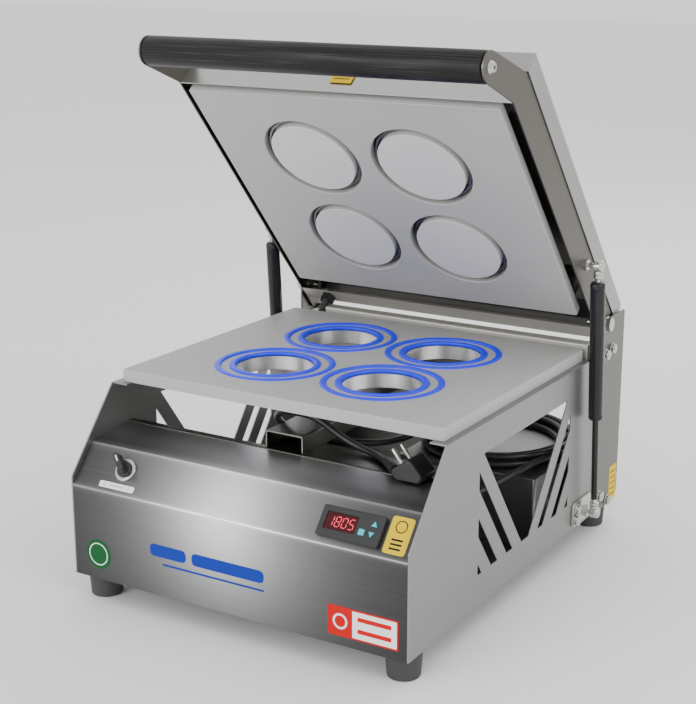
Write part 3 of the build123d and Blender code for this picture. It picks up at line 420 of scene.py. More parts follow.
def soft_rubber(name, tone, roughness, lumps=600.0):
    """Moulded rubber or plastic: a fine grain in bump and a cloudy bloom in gloss."""
    finish = Finish(name)
    grain = finish.noise(lumps, detail=2.0)
    bloom = finish.noise(50.0, detail=3.0)
    finish.give(
        Base_Color=finish.tint((*tone, 1.0), (bloom - 0.5) * 0.30 + 1.0),
        Roughness=(bloom - 0.5) * 0.18 + roughness,
    )
    finish.bump(grain, 0.0001, 0.25)
    return finish


def seal_silicone():
    """Blue silicone: slightly see-through at its skin, so light bleeds a little way in."""
    finish = soft_rubber("seal_silicone", (0.001, 0.022, 1.0), 0.36, 350.0)
    finish.give(Subsurface_Weight=0.12, Subsurface_Scale=0.004, Subsurface_Radius=(0.2, 0.3, 1.0))
    finish.give(Coat_Weight=finish.noise(20.0) * 0.1, Coat_Roughness=0.2)
    return finish


sleeve = handle_sleeve()
silicone = seal_silicone()
foot_rubber = soft_rubber("foot_rubber", (0.045, 0.045, 0.044), 0.70)
case_plastic = soft_rubber("case_plastic", (0.016, 0.018, 0.019), 0.50, 1500.0)
conduit_plastic = soft_rubber("conduit_plastic", (0.020, 0.020, 0.021), 0.40)
cord_jacket = soft_rubber("cord_jacket", (0.016, 0.016, 0.017), 0.36, 900.0)
key_cyan = soft_rubber("key_cyan", (0.06, 0.50, 0.58), 0.42, 1500.0)
board_fibre = soft_rubber("board_fibre", (0.62, 0.60, 0.52), 0.85, 250.0)

# %% [markdown]
# Stickers are printed film: one flat ink under a clear skin, with faint print grain. The display is
# dark red glass with glowing digits behind it.

# %% Inks, window and digits


def ink(name, tone, roughness=0.5):
    """Printed film: fine dot grain in the colour and a soft gloss."""
    finish = Finish(name)
    dots = finish.noise(2200.0, detail=1.0)
    wipe = finish.noise(30.0, detail=3.0)
    finish.give(
        Base_Color=finish.tint((*tone, 1.0), (dots - 0.5) * 0.12 + (wipe - 0.5) * 0.10 + 1.0),
        Roughness=(wipe - 0.5) * 0.2 + roughness,
    )
    finish.give(Specular_IOR_Level=0.2)
    finish.bump(dots, 0.00003, 0.2)
    return finish


def display_window():
    """Tinted window: very dark red, glossy, with faint wiping marks in its gloss."""
    finish = Finish("display_window")
    wipe = finish.noise(60.0, (1.0, 4.0, 1.0), detail=3.0)
    finish.give(
        Base_Color=finish.tint((0.050, 0.002, 0.004, 1.0), wipe * 0.8 + 0.6),
        Roughness=wipe * 0.15 + 0.22,
        Specular_IOR_Level=0.25,
    )
    return finish


def glowing_digit():
    """Lit segments: red light, a little uneven."""
    finish = Finish("glowing_digit")
    uneven = finish.noise(300.0)
    finish.give(
        Base_Color=(0.3, 0.01, 0.02, 1.0),
        Emission_Color=finish.tint((1.0, 0.05, 0.10, 1.0), uneven * 0.5 + 0.7),
        Emission_Strength=1.5,
        Roughness=uneven * 0.2 + 0.3,
    )
    return finish


yellow_ink = ink("yellow_ink", (0.78, 0.53, 0.0))
green_ink = ink("green_ink", (0.0, 0.09, 0.020))
blue_ink = ink("blue_ink", (0.004, 0.030, 0.34))
red_ink = ink("red_ink", (0.58, 0.0, 0.0))
white_ink = ink("white_ink", (0.95, 0.95, 0.93))
black_ink = ink("black_ink", (0.012, 0.012, 0.013))
window_red = display_window()
digit_red = glowing_digit()
print(len(bpy.data.materials), "finishes")

# %% [markdown]
# ## Surfaces from rings
# Every new piece is a stack of closed rings, worked out as one numpy array and skinned with quads.
# A turned part, a hexagon nut, a cord's relief and a sticker differ only in how their rings run.

# %% Rings to mesh
record = frame["record"]
body_of = {
    node: body for body, members in record["behaviour"]["bodies"].items() for node in members
}
joint_of = {joint["name"]: joint for joint in record["behaviour"]["joints"]}


def skin(rings, loop=False):
    """Quads between neighbouring rings; flat ends, or the last ring joined to the first."""
    count, around = rings.shape[:2]
    index = np.arange(count * around).reshape(count, around)
    if loop:
        index = np.vstack([index, index[:1]])
    ahead = np.roll(index, -1, axis=1)
    quads = np.stack([index[:-1], ahead[:-1], ahead[1:], index[1:]], axis=-1).reshape(-1, 4)
    faces = quads.tolist()
    if not loop:
        faces += [index[0, ::-1].tolist(), index[-1].tolist()]
    return rings.reshape(-1, 3), faces


def piece(name, body, finish, solids, replaces=(), sharp=35.0):
    """One object from several closed solids, riding on a body of the machine."""
    starts = np.cumsum([0] + [len(points) for points, faces in solids])
    points = np.concatenate([points for points, faces in solids])
    faces = [
        [corner + start for corner in face]
        for start, (_, members) in zip(starts.tolist(), solids) for face in members
    ]
    mesh = bpy.data.meshes.new(name)
    mesh.from_pydata(points.tolist(), [], faces)
    work = bmesh.new()
    work.from_mesh(mesh)
    bmesh.ops.remove_doubles(work, verts=work.verts, dist=1e-7)
    bmesh.ops.recalc_face_normals(work, faces=work.faces)
    work.to_mesh(mesh)
    work.free()
    mesh.shade_smooth()
    mesh.set_sharp_from_angle(angle=math.radians(sharp))
    return settle(bpy.data.objects.new(name, mesh), body, finish, replaces)


def settle(made, body, finish, replaces=()):
    """Gives a new object its finish and body, and hides the frame nodes that it stands for."""
    if made.name not in bpy.context.scene.collection.objects:
        bpy.context.scene.collection.objects.link(made)
    made.data.materials.clear()
    made.data.materials.append(finish.material)
    if body:
        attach(made, body)
    if replaces:
        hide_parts(*replaces)
    return made


def across(axis):
    """Two unit vectors square to an axis and to each other."""
    axis = np.asarray(axis, float) / np.linalg.norm(axis)
    helper = np.array((0.0, 0.0, 1.0)) if abs(axis[2]) < 0.9 else np.array((1.0, 0.0, 0.0))
    first = np.cross(helper, axis)
    first /= np.linalg.norm(first)
    return axis, first, np.cross(axis, first)


def turned(profile, origin, axis, sides=48, hexagon=0.0):
    """A profile of (along, radius) in mm turned round an axis; a hexagon trims its radius.

    The hexagon's radius at an angle is half its width over the cosine of the angle to the
    nearest flat, and each ring takes the smaller of the two radii.
    """
    axis, first, second = across(axis)
    along, radius = (np.array(profile, float) * MM).T
    turn = np.linspace(0, 2 * np.pi, sides, endpoint=False)
    rim = np.broadcast_to(radius[:, None], (len(radius), sides))
    if hexagon:
        flat = (turn + np.pi / 6) % (np.pi / 3) - np.pi / 6
        rim = np.minimum(rim, hexagon * MM / 2 / np.cos(flat))
    rays = np.cos(turn)[:, None] * first + np.sin(turn)[:, None] * second
    rings = np.asarray(origin) + along[:, None, None] * axis + rim[..., None] * rays
    return skin(rings)


def rounded_ends(low, high, radius, edge, steps=4):
    """Profile of a plain cylinder whose two rims are quarter rounds."""
    turn = np.linspace(0, np.pi / 2, steps)
    lower = np.stack([low + edge * (1 - np.sin(turn)), radius - edge * (1 - np.cos(turn))], axis=1)
    upper = np.stack([high - edge * (1 - np.sin(turn)), radius - edge * (1 - np.cos(turn))], axis=1)
    return np.vstack([(low, 0.0), lower[::-1], upper, (high, 0.0)])


# %% [markdown]
# ## Sheet and plate edges
# Cut sheet never has a razor edge: it catches a thin bright line of light. Each plate of the frame
# is copied, its triangles are merged back into flat faces, and a small bevel is put on its corners.

# %% Bevelled copies of the plates
PLATES = {
    "side_plate_left": (plate_steel, 0.5), "side_plate_right": (plate_steel, 0.5),
    "rear_upright_left": (upright_steel, 0.6), "rear_upright_right": (upright_steel, 0.6),
    "control_panel": (panel_steel, 0.4), "rear_panel": (plate_steel, 0.4),
    "floor_pan": (shaded_steel, 0.4), "front_cross_bar": (shaded_steel, 0.4),
    "channel_rail": (shaded_steel, 0.4), "rear_cross_bar": (inner_steel, 0.4),
    "electrical_enclosure": (plate_steel, 0.6), "tray_plate": (tray_coat, 0.7),
    "upper_plate": (press_coat, 1.6), "sealing_discs": (disc_coat, 0.0),
    "lid_side_left": (lid_steel, 0.5), "lid_side_right": (lid_steel, 0.5),
    "lid_shell": (shell_steel, 0.3), "lid_front_strip": (strip_steel, 0.3),
    "lid_rear_wall": (inner_steel, 0.3), "spring_brackets": (bright_zinc, 0.6),
    "feet_front": (foot_rubber, 1.0), "feet_rear": (foot_rubber, 1.0),
    "controller_bezel": (case_plastic, 0.4),
}
flat_angle = math.radians(0.5)
bevel_angle = math.radians(28)


def formed(node, finish, width):
    """A bevelled copy of a frame node in its own place; with no width, the node itself only takes the
    finish.
    """
    if not width:
        nodes[node].data.materials.clear()
        nodes[node].data.materials.append(finish.material)
        return None
    work = bmesh.new()
    work.from_mesh(nodes[node].data)
    bmesh.ops.remove_doubles(work, verts=work.verts, dist=2e-6)
    bmesh.ops.dissolve_limit(
        work, angle_limit=flat_angle, verts=work.verts, edges=work.edges, delimit=set()
    )
    mesh = bpy.data.meshes.new(node + "_formed")
    work.to_mesh(mesh)
    work.free()
    mesh.shade_smooth()
    made = bpy.data.objects.new(node + "_formed", mesh)
    bevel = made.modifiers.new("edge", "BEVEL")
    bevel.width = width * MM
    bevel.segments = 2
    bevel.limit_method = "ANGLE"
    bevel.angle_limit = bevel_angle
    weighted = made.modifiers.new("normals", "WEIGHTED_NORMAL")
    weighted.mode = "FACE_AREA"
    weighted.weight = 100
    weighted.keep_sharp = True
    return settle(made, body_of[node], finish, (node,))


for plate_node, (plate_finish, edge_width) in PLATES.items():
    formed(plate_node, plate_finish, edge_width)
print(len(PLATES), "plates")

# %% Finishes of the frame nodes that keep their own shape
KEPT = {
    collar_metal: ("cup_collar_1", "cup_collar_2", "cup_collar_3", "cup_collar_4"),
    cutter_metal: ("ring_cutters", "heating_elements"),
    plate_steel: ("carrier_beams",),
    bright_zinc: (
        "handle_screws", "hinge_fasteners", "lower_ball_studs", "upper_ball_studs", "selector_ring",
    ),
    case_plastic: ("controller_case", "selector_body", "selector_knob", "power_relay"),
    conduit_plastic: ("conduit_fitting_base", "conduit_fitting_lid"),
    key_cyan: ("key_set", "key_up", "key_down"),
    window_red: ("controller_window",),
    board_fibre: ("insulation_board",),
}
for kept_finish, kept_nodes in KEPT.items():
    for kept_node in kept_nodes:
        nodes[kept_node].data.materials.clear()
        nodes[kept_node].data.materials.append(kept_finish.material)

# %% [markdown]
# ## The mains cord
# The machine is shown put away, with its cord stowed inside the base. It leaves a gland at the back
# of the control box, is wound in a loose coil on top of the electrical box, comes forward over the
# middle rail in a hump and ends in its plug, which lies on the control box. The cord is one NURBS
# curve; the coil's turns come from a loop: inwards on the box, then outwards on top of themselves.

# %% Cord route
cord_diameter = 8.5
lead_in = [
    (150.0, 140.2, 104.0), (150.5, 172.0, 101.5), (155.0, 210.0, 95.0), (165.0, 250.0, 92.0),
    (178.0, 288.0, 95.5), (189.0, 326.0, 101.0), (196.5, 362.0, 103.5), (200.0, 392.0, 104.5),
]
lead_out = [
    (24.0, 388.0, 112.0), (22.0, 352.0, 112.5), (12.0, 312.0, 116.0), (-10.0, 276.0, 124.0),
    (-37.0, 244.0, 137.0), (-59.0, 208.0, 155.0), (-57.0, 176.0, 177.0), (-34.0, 156.0, 194.5),
    (-6.0, 148.0, 200.0), (22.0, 147.0, 198.0), (47.0, 149.0, 183.0), (72.0, 150.5, 171.5),
    (98.0, 146.0, 168.0), (121.0, 133.0, 168.4), (137.0, 118.0, 169.9),
]
coil_middle = np.array((112.0, 450.0))
turn_points = 16
coil_radii = (104.0, 100.5, 91.5, 82.0, 88.0, 97.5, 103.5)
coil_heights = (104.5, 99.2, 98.6, 99.5, 107.8, 108.6, 111.5)


def coil_turns():
    """Points of the coil: radius and height pass smoothly through one pair of values a turn."""
    start = math.atan2(*(np.array(lead_in[-1][:2]) - coil_middle)[::-1])
    end = math.atan2(*(np.array(lead_out[0][:2]) - coil_middle)[::-1])
    sweep = (end - start) % (2 * math.pi) + 2 * math.pi * (len(coil_radii) - 3)
    count = int(turn_points * sweep / (2 * math.pi))
    share = np.linspace(0, 1, count + 2)[1:-1]
    angle = start + sweep * share
    steps = np.linspace(0, 1, len(coil_radii))
    radius = np.interp(share, steps, coil_radii) + 1.2 * np.sin(angle * 1.31 + 0.6)
    height = np.interp(share, steps, coil_heights)
    return np.stack([
        coil_middle[0] + radius * np.cos(angle), coil_middle[1] + radius * np.sin(angle), height
    ], axis=1)


cord_points = np.vstack([lead_in, coil_turns(), lead_out])
print(len(cord_points), "points on the cord")


def nurbs(name, points):
    """A NURBS curve through machine places in mm."""
    curve = bpy.data.curves.new(name, "CURVE")
    curve.dimensions = "3D"
    spline = curve.splines.new("NURBS")
    spline.points.add(len(points) - 1)
    world = np.array([place(*point) for point in points])
    spline.points.foreach_set("co", np.column_stack([world, np.ones(len(world))]).ravel())
    spline.order_u = 3
    spline.use_endpoint_u = True
    spline.resolution_u = 8
    return curve


def line_of(points):
    """Places along the NURBS line of some points, in metres."""
    probe = bpy.data.objects.new("probe", nurbs("probe", points))
    bpy.context.scene.collection.objects.link(probe)
    mesh = bpy.data.meshes.new_from_object(probe.evaluated_get(bpy.context.evaluated_depsgraph_get()))
    line = np.empty(len(mesh.vertices) * 3)
    mesh.vertices.foreach_get("co", line)
    bpy.data.objects.remove(probe)
    bpy.data.meshes.remove(mesh)
    return line.reshape(-1, 3)


# %% Rings along a line


def tube(line, radius, sides=24, count=None):
    """Rings of given radii along a line, each square to it; the frame is carried on without twist."""
    steps = np.concatenate([[0], np.cumsum(np.linalg.norm(np.diff(line, axis=0), axis=1))])
    if count:
        wanted = np.linspace(0, steps[-1], count)
        line = np.stack([np.interp(wanted, steps, line[:, k]) for k in range(3)], axis=1)
        steps = wanted
    ahead = np.gradient(line, axis=0)
    ahead /= np.linalg.norm(ahead, axis=1)[:, None]
    side = across(ahead[0])[1]
    sides_of = []
    for direction in ahead:
        side = side - direction * (side @ direction)
        side = side / np.linalg.norm(side)
        sides_of.append(side)
    first = np.array(sides_of)
    second = np.cross(ahead, first)
    turn = np.linspace(0, 2 * np.pi, sides, endpoint=False)
    radii = radius(steps) if callable(radius) else np.full(len(line), radius)
    rays = np.cos(turn)[:, None] * first[:, None] + np.sin(turn)[:, None] * second[:, None]
    return line[:, None] + radii[:, None, None] * rays


# %% Cord, strain relief and plug
cord_curve = nurbs("mains_cord", cord_points)
cord_curve.bevel_depth = cord_diameter / 2 * MM
cord_curve.bevel_resolution = 4
cord_curve.use_fill_caps = True
mains_cord = settle(
    bpy.data.objects.new("mains_cord", cord_curve), "root", cord_jacket,
    ("cord_lead_in", "cord_coil", "cord_lead_out"),
)
cord_line = line_of(cord_points)
cord_length = float(np.linalg.norm(np.diff(cord_line, axis=0), axis=1).sum())
print("cord length", round(cord_length, 3), "m")

gland_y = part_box("control_panel")[1][1]
gland_x, gland_z = cord_line[0][0], cord_line[0][2]
relief_length = 34.0
relief_ribs = 7
nut_length = 8.0


def relief_radius(along):
    """Tapers from 8.6 to 5 mm, with shallow grooves between its ribs."""
    share = along / (relief_length * MM)
    groove = 0.55 * (0.5 + 0.5 * np.cos(share * relief_ribs * 2 * np.pi)) * (share < 0.9)
    return (8.6 - 3.4 * share - groove) * MM


relief_line = np.vstack([
    (gland_x, gland_y + (nut_length - 2) * MM, gland_z),
    (gland_x, gland_y + (relief_length + nut_length - 2) * MM, gland_z),
])
cord_relief = piece(
    "cord_relief", "root", conduit_plastic,
    [
        skin(tube(relief_line, relief_radius, count=90)),
        turned(
            [(0.1, 0), (0.1, 11.6), (0.8, 12.5), (7.2, 12.5), (8, 11.4), (8, 0)],
            (gland_x, gland_y, gland_z), (0, 1, 0), 60, hexagon=22.0,
        ),
        turned(
            rounded_ends(-10, -0.1, 7.0, 0.6), (gland_x, gland_y, gland_z), (0, 1, 0),
        ),
    ],
    ("cord_gland",),
)

# %% [markdown]
# The plug's body is one outline, extruded across the machine with its rims drawn in, so that it has
# the soft crown of a moulded plug. Its slanted face carries two round pins.

# %% Plug

def rounded_outline(corners, radius, steps=6):
    """A closed outline whose corners are rounds: each is a quadratic curve between its two runs."""
    corners = np.array(corners, float)
    before = np.roll(corners, 1, axis=0) - corners
    after = np.roll(corners, -1, axis=0) - corners
    reach = np.minimum(np.linalg.norm(before, axis=1), np.linalg.norm(after, axis=1)) * 0.45
    reach = np.minimum(reach, radius)[:, None]
    start = corners + before / np.linalg.norm(before, axis=1)[:, None] * reach
    end = corners + after / np.linalg.norm(after, axis=1)[:, None] * reach
    share = np.linspace(0, 1, steps)[None, :, None]
    points = (
        start[:, None] * (1 - share) ** 2 + corners[:, None] * 2 * share * (1 - share)
        + end[:, None] * share ** 2
    )
    return points.reshape(-1, 2)


def cushion(outline, origin, right, up, low, high, edge, steps=5):
    """An outline extruded from low to high, shrunk towards its middle at both rims by edge."""
    outline = np.asarray(outline, float)
    middle = outline.mean(axis=0)
    span = np.abs(outline - middle).max()
    turn = np.linspace(0, np.pi / 2, steps)
    depth = np.concatenate([low + edge * (1 - np.cos(turn)), high - edge * (1 - np.cos(turn[::-1]))])
    shrink = np.concatenate([edge * (1 - np.sin(turn)), edge * (1 - np.sin(turn[::-1]))])
    scale = 1 - shrink / span
    flat = middle + (outline - middle)[None] * scale[:, None, None]
    right, up = np.asarray(right, float), np.asarray(up, float)
    out = np.cross(right, up)
    rings = (
        np.asarray(origin) + MM * (
            flat[..., :1] * right + flat[..., 1:] * up + depth[:, None, None] * out
        )
    )
    return skin(rings)


plug_y, plug_base = 108.0, 163.6
plug_outline = rounded_outline(
    [(158, 0.4), (191, 0.4), (195, 8), (176, 28), (152, 9.5)], 6.0
)
cord_way = (cord_line[-1] - cord_line[-3]) / np.linalg.norm(cord_line[-1] - cord_line[-3])
outlet_line = cord_line[-1] + np.linspace(-0.012, 0.024, 30)[:, None] * cord_way


def outlet_radius(along):
    """Widens from 5.2 to 6.2 mm towards the plug, with shallow square grooves."""
    return (5.2 + 1.0 * along / 0.036 - 0.4 * (np.sin(along * 1400) > 0.2)) * MM


plug_body = piece(
    "plug_body", "root", cord_jacket,
    [
        cushion(plug_outline, place(0, plug_y, plug_base), (1, 0, 0), (0, 0, 1), -17, 17, 4.0, 6),
        skin(tube(outlet_line, outlet_radius)),
    ],
    ("mains_plug",),
)
pin_middle = np.array((164.0, 18.7))
pin_way = np.array((-18.5, 24.0)) / math.hypot(18.5, 24.0)
plug_pins = piece(
    "plug_pins", "root", bright_zinc,
    [
        turned(
            [(-3, 0), (-3, 2.3), (17.2, 2.3), (18.6, 1.6), (19, 0.6), (19, 0)],
            place(pin_middle[0], plug_y + pin_side, plug_base + pin_middle[1]),
            (pin_way[0], 0, pin_way[1]), 24,
        )
        for pin_side in (-9.5, 9.5)
    ],
)

# %% [markdown]
# ## Seal rings
# Two silicone rings sit in grooves round each cup place. Each is a bead: a squashed circle carried
# round the cup's middle. Silicone never lies quite true, so its radius wanders a little.

# %% Seal rings
tray_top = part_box("tray_plate")[1][2]
cup_middles = [
    (np.array(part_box(f"cup_collar_{number}")[0]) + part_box(f"cup_collar_{number}")[1]) / 2
    for number in (1, 2, 3, 4)
]


def squash(value):
    """A sine or cosine raised to 0.8 with its sign kept: it makes a circle's section boxier."""
    return np.sign(value) * np.abs(value) ** 0.8


def bead(middle, radius, half_width, low, high, phase):
    """A closed bead carried round a cup: half_width * cos(t) ** 0.8 outwards, height as sin(t) ** 0.8."""
    around = np.linspace(0, 2 * np.pi, 144, endpoint=False)[:, None]
    turn = np.linspace(0, 2 * np.pi, 20, endpoint=False)[None]
    wander = 0.00012 * np.sin(3 * around + phase) + 0.0001 * np.sin(5 * around - 2 * phase)
    out = radius + wander + half_width * squash(np.cos(turn))
    height = (low + high) / 2 + (high - low) / 2 * squash(np.sin(turn)) + 0 * around
    rings = np.stack([
        middle[0] + out * np.cos(around), middle[1] + out * np.sin(around), height,
    ], axis=-1)
    return skin(rings, loop=True)


for ring_node, ring_radius, ring_half in (
    ("outer_seal_rings", 0.0705, 0.0041), ("inner_seal_rings", 0.0522, 0.0041),
):
    ring_low, ring_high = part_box(ring_node)
    piece(
        ring_node + "_bead", "root", silicone,
        [
            bead(middle, ring_radius, ring_half, ring_low[2], ring_high[2] + 0.0002, number * 1.7)
            for number, middle in enumerate(cup_middles)
        ],
        (ring_node,), sharp=80.0,
    )

# %% [markdown]
# ## Handle
# The handle is a black sleeve between the lid's two arms, turned with small rounded rims. A thin
# washer, a little smaller than the sleeve, stands at each end.

# %% Handle
bar_low, bar_high = (np.array(corner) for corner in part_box("handle_bar"))
bar_middle = (bar_low + bar_high) / 2
bar_radius = (bar_high - bar_low)[2] / 2 / MM
bar_half = (bar_high - bar_low)[0] / 2 / MM
sleeve_profile = rounded_ends(-bar_half + 2.2, bar_half - 2.2, bar_radius, 1.2)
end_washer = rounded_ends(0.1, 2.1, bar_radius - 2.5, 0.5)
bar_reach = np.array((bar_half * MM, 0, 0))
piece(
    "handle_sleeve", "lid", sleeve,
    [turned(sleeve_profile, bar_middle, (1, 0, 0), 96)],
    ("handle_bar",),
)
piece(
    "handle_washers", "lid", bright_zinc,
    [
        turned(end_washer, bar_middle - hand * bar_reach, (hand, 0, 0), 96)
        for hand in (-1, 1)
    ],
)

# %% [markdown]
# ## Gas springs
# A gas spring is a painted barrel, rolled in at its rod end, a slim rod, and a zinc ball socket on a
# threaded shank at each end. Barrel and rod turn on different bodies, so each half is its own piece.

# %% Gas springs
socket_profile = [
    (-4, 4.4), (-4, 6.6), (-3.2, 7.5), (-1.4, 7.5), (-1.0, 7.0), (0.2, 7.0), (0.6, 7.5), (5.2, 7.5),
    (6.4, 6.8), (7, 5.5), (7, 0),
]
shank_profile = [
    (6, 0), (6, 5.2), (9.5, 5.4), (10, 4.4), (11, 4.4), (11.4, 5.8), (14.6, 5.8), (15, 4.6), (15, 3.4),
    (15.8, 3.0), (16.6, 3.4), (17.4, 3.0), (18.2, 3.4), (19, 3.0), (19.8, 3.4), (21.5, 3.0), (21.5, 0),
]
barrel_profile = [
    (20, 0), (20, 5.8), (20.6, 7.4), (22.4, 9.1), (24, 9.5), (30, 9.5), (30.5, 9.1), (31.8, 9.1),
    (32.3, 9.5), (196, 9.5), (196.6, 9.1), (198.2, 9.1), (198.8, 9.5), (201.5, 9.4), (203.4, 8.2),
    (204, 6.8), (204, 5.6), (201, 5.6), (201, 0),
]
rod_profile = [(19, 0), (19, 4.0), (170, 4.0), (172, 3.4), (172, 0)]
for word, hand in (("left", -1), ("right", 1)):
    upper = np.array(joint_of[f"spring_upper_{word}"]["pos_m"])
    lower = np.array(joint_of[f"spring_lower_{word}"]["pos_m"])
    for half, centre, way, long_profile in (
        ("tube", upper, lower - upper, barrel_profile), ("rod", lower, upper - lower, rod_profile),
    ):
        piece(
            f"gas_spring_{half}_socket_{word}", f"spring_{half}_{word}", bright_zinc,
            [
                turned([(-3.9, 0)] + socket_profile, centre, (hand, 0, 0), 48),
                turned(shank_profile, centre, way, 48),
            ],
        )
        piece(
            f"gas_spring_{half}_barrel_{word}" if half == "tube" else f"gas_spring_shaft_{word}",
            f"spring_{half}_{word}", black_coat,
            [turned(long_profile, centre, way, 64)], (f"gas_spring_{half}_{word}",),
        )

# %% [markdown]
# ## Bolts
# Hexagon heads are turned with a chamfer that cuts their corners, and stand on a washer.

# %% Bolts
plate_x = plate_high[0] / MM
upright_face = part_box("rear_upright_right")[1][0] / MM
fixing_places = ((514, 22), (542, 8), (516, 218))
bracket_places = ((441, 27), (437, 13))
stop_place = (536.6, 222.1)
bolt_profile = [(1.3, 0), (1.3, 6.4), (1.9, 6.5), (4.4, 7.5), (5.2, 6.3), (5.3, 5.6), (5.3, 0)]
washer_profile = rounded_ends(0.02, 1.3, 7.6, 0.3)


def bolt(hand, y, z):
    """A chamfered hexagon head on its washer, on the outside of the machine."""
    seat = place(hand * upright_face, y, z)
    return [
        turned(washer_profile, seat, (hand, 0, 0), 40),
        turned(bolt_profile, seat, (hand, 0, 0), 60, hexagon=13.0),
        turned(rounded_ends(5.0, 6.0, 3.4, 0.4), seat, (hand, 0, 0), 24),
    ]


bolt_solids = []
for hand in (-1, 1):
    for y, z in fixing_places + bracket_places + (stop_place,):
        bolt_solids += bolt(hand, y, z)
    bolt_solids.append(turned(
        rounded_ends(-13.4, -0.1, 4.0, 0.4), place(hand * upright_face, *stop_place), (hand, 0, 0), 32,
    ))
piece("hexagon_bolts", "root", bright_zinc, bolt_solids, ("frame_bolts",))

# %% [markdown]
# ## Conduit
# The heater cables climb from the base to the lid in a corrugated conduit. Its radius is a fast
# cosine along its length. It is held at both ends, and is shaped as it lies with the lid open.

# %% Conduit
hinge = np.array(joint_of["lid_hinge"]["pos_m"])
foot_low, foot_high = (np.array(corner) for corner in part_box("conduit_fitting_base"))
cap_low, cap_high = (np.array(corner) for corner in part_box("conduit_fitting_lid"))
pipe_radius = 6.75
ripple_pitch = 3.4
foot = (foot_low + foot_high) / 2
open_angle = math.radians(49.2)
lid_up = np.array((0, math.sin(open_angle), math.cos(open_angle)))
cap = (cap_low + cap_high) / 2
print("conduit from", foot, "to", cap)


def machine_mm(point):
    """A place in metres as millimetres across, back and up."""
    return (point[0] / MM, (point[1] - face_y) / MM, (point[2] - base_z) / MM)


pipe_points = [
    machine_mm(foot + (0, 0, 0.006)), machine_mm(foot + (0, 0, 0.05)), machine_mm(foot + (0, 0, 0.11)),
    machine_mm((foot[0], foot[1], cap[2] - 0.09)), machine_mm(cap - lid_up * 0.035),
    machine_mm(cap - lid_up * 0.004),
]
pipe_line = line_of(pipe_points)


def ripple(along):
    """Radius of the corrugated wall: rounded ridges and narrow valleys."""
    wave = np.cos(2 * np.pi * along / (ripple_pitch * MM))
    return (pipe_radius - 0.75 * (0.5 - 0.5 * wave) ** 2) * MM


pipe_length = np.linalg.norm(np.diff(pipe_line, axis=0), axis=1).sum()
conduit_pipe = piece(
    "conduit_pipe", "", conduit_plastic,
    [skin(tube(pipe_line, ripple, 24, int(pipe_length / MM / ripple_pitch * 8)))],
    ("conduit",), sharp=80.0,
)
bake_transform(conduit_pipe)

# %% [markdown]
# ## Stickers, display and switch mark
# Stickers are thin rounded sheets. What was printed on them is left as plain bars, discs and rings.

# %% Flat faces that carry stickers
slant_rise = np.array((0.0, 36.3, 43.6)) / math.hypot(36.3, 43.6)
crease_z = 113.3
right = np.array((1.0, 0.0, 0.0))
up = np.array((0.0, 0.0, 1.0))
slant_out = np.cross(right, slant_rise)


def on_slant(x, s):
    """A place on the slanted face, s mm up from the crease."""
    return place(x, 0, crease_z) + slant_rise * s * MM


def film(origin, right, up, width, height, corner, lift, thickness=0.15):
    """A rounded rectangle of film, lifted off its face."""
    half_w, half_h = width / 2, height / 2
    outline = rounded_outline(
        [(-half_w, -half_h), (half_w, -half_h), (half_w, half_h), (-half_w, half_h)], corner, 7
    )
    return cushion(outline, origin, right, up, lift, lift + thickness, 0.04, 2)


def hoop(origin, right, up, radius, width, lift, thickness=0.12):
    """A flat ring of film."""
    turn = np.linspace(0, 2 * np.pi, 72, endpoint=False)[:, None]
    section = np.array([(-1, 0), (1, 0), (1, 1), (-1, 1)], float)
    out = (radius + section[None, :, 0] * width / 2) * MM
    height = (lift + section[None, :, 1] * thickness) * MM
    right, up = np.asarray(right), np.asarray(up)
    normal = np.cross(right, up)
    rings = (
        np.asarray(origin) + (out * np.cos(turn))[..., None] * right
        + (out * np.sin(turn))[..., None] * up + (height + 0 * turn)[..., None] * normal
    )
    return skin(rings, loop=True)


def sticker(name, body, finish, solids):
    """A printed piece on the body of the sheet that it is stuck to."""
    return piece(name, body, finish, solids)


# %% Stickers on the control panel

def front(x, z):
    """A place on the upright front face."""
    return place(x, 0, z)


sticker("switch_label", "root", white_ink, [
    film(on_slant(-165.5, 9.2), right, slant_rise, 51, 7.6, 2, 0.05),
])
sticker("switch_label_marks", "root", black_ink, [
    hoop(on_slant(-183, 9.2), right, slant_rise, 1.5, 0.5, 0.22),
    film(on_slant(-148, 9.2), right, slant_rise, 0.6, 3.4, 0.2, 0.22),
    film(on_slant(-165.5, 9.2), right, slant_rise, 22, 0.5, 0.2, 0.22),
])
sticker("side_label", "root", yellow_ink, [
    film(on_slant(207.5, 27), right, slant_rise, 27, 42, 4, 0.05),
])
sticker("side_label_marks", "root", black_ink, [
    hoop(on_slant(207.5, 37), right, slant_rise, 6.5, 1.2, 0.22),
    film(on_slant(207.5, 17), right, slant_rise, 14, 2.2, 0.8, 0.22),
    film(on_slant(207.5, 22), right, slant_rise, 14, 2.2, 0.8, 0.22),
    film(on_slant(207.5, 12), right, slant_rise, 14, 2.2, 0.8, 0.22),
])
turn = np.linspace(0, 2 * np.pi, 72, endpoint=False)
disc_outline = np.stack([18.5 * np.cos(turn), 18.5 * np.sin(turn)], axis=1)
sticker("round_sticker", "root", green_ink, [
    cushion(disc_outline, front(-192.5, 32), right, up, 0.05, 0.2, 0.04, 2),
])
sticker("round_sticker_ring", "root", white_ink, [hoop(front(-192.5, 32), right, up, 13.5, 1.2, 0.22)])
sticker("front_band", "root", blue_ink, [
    film(front(-88, 56), right, up, 52, 15, 7.4, 0.05),
    film(front(-4, 56), right, up, 100, 15, 7.4, 0.05),
    film(front(-25, 40), right, up, 142, 2.4, 1.1, 0.05),
])
sticker("corner_sticker", "root", red_ink, [film(front(174, 28.5), right, up, 88, 35, 1.5, 0.05)])
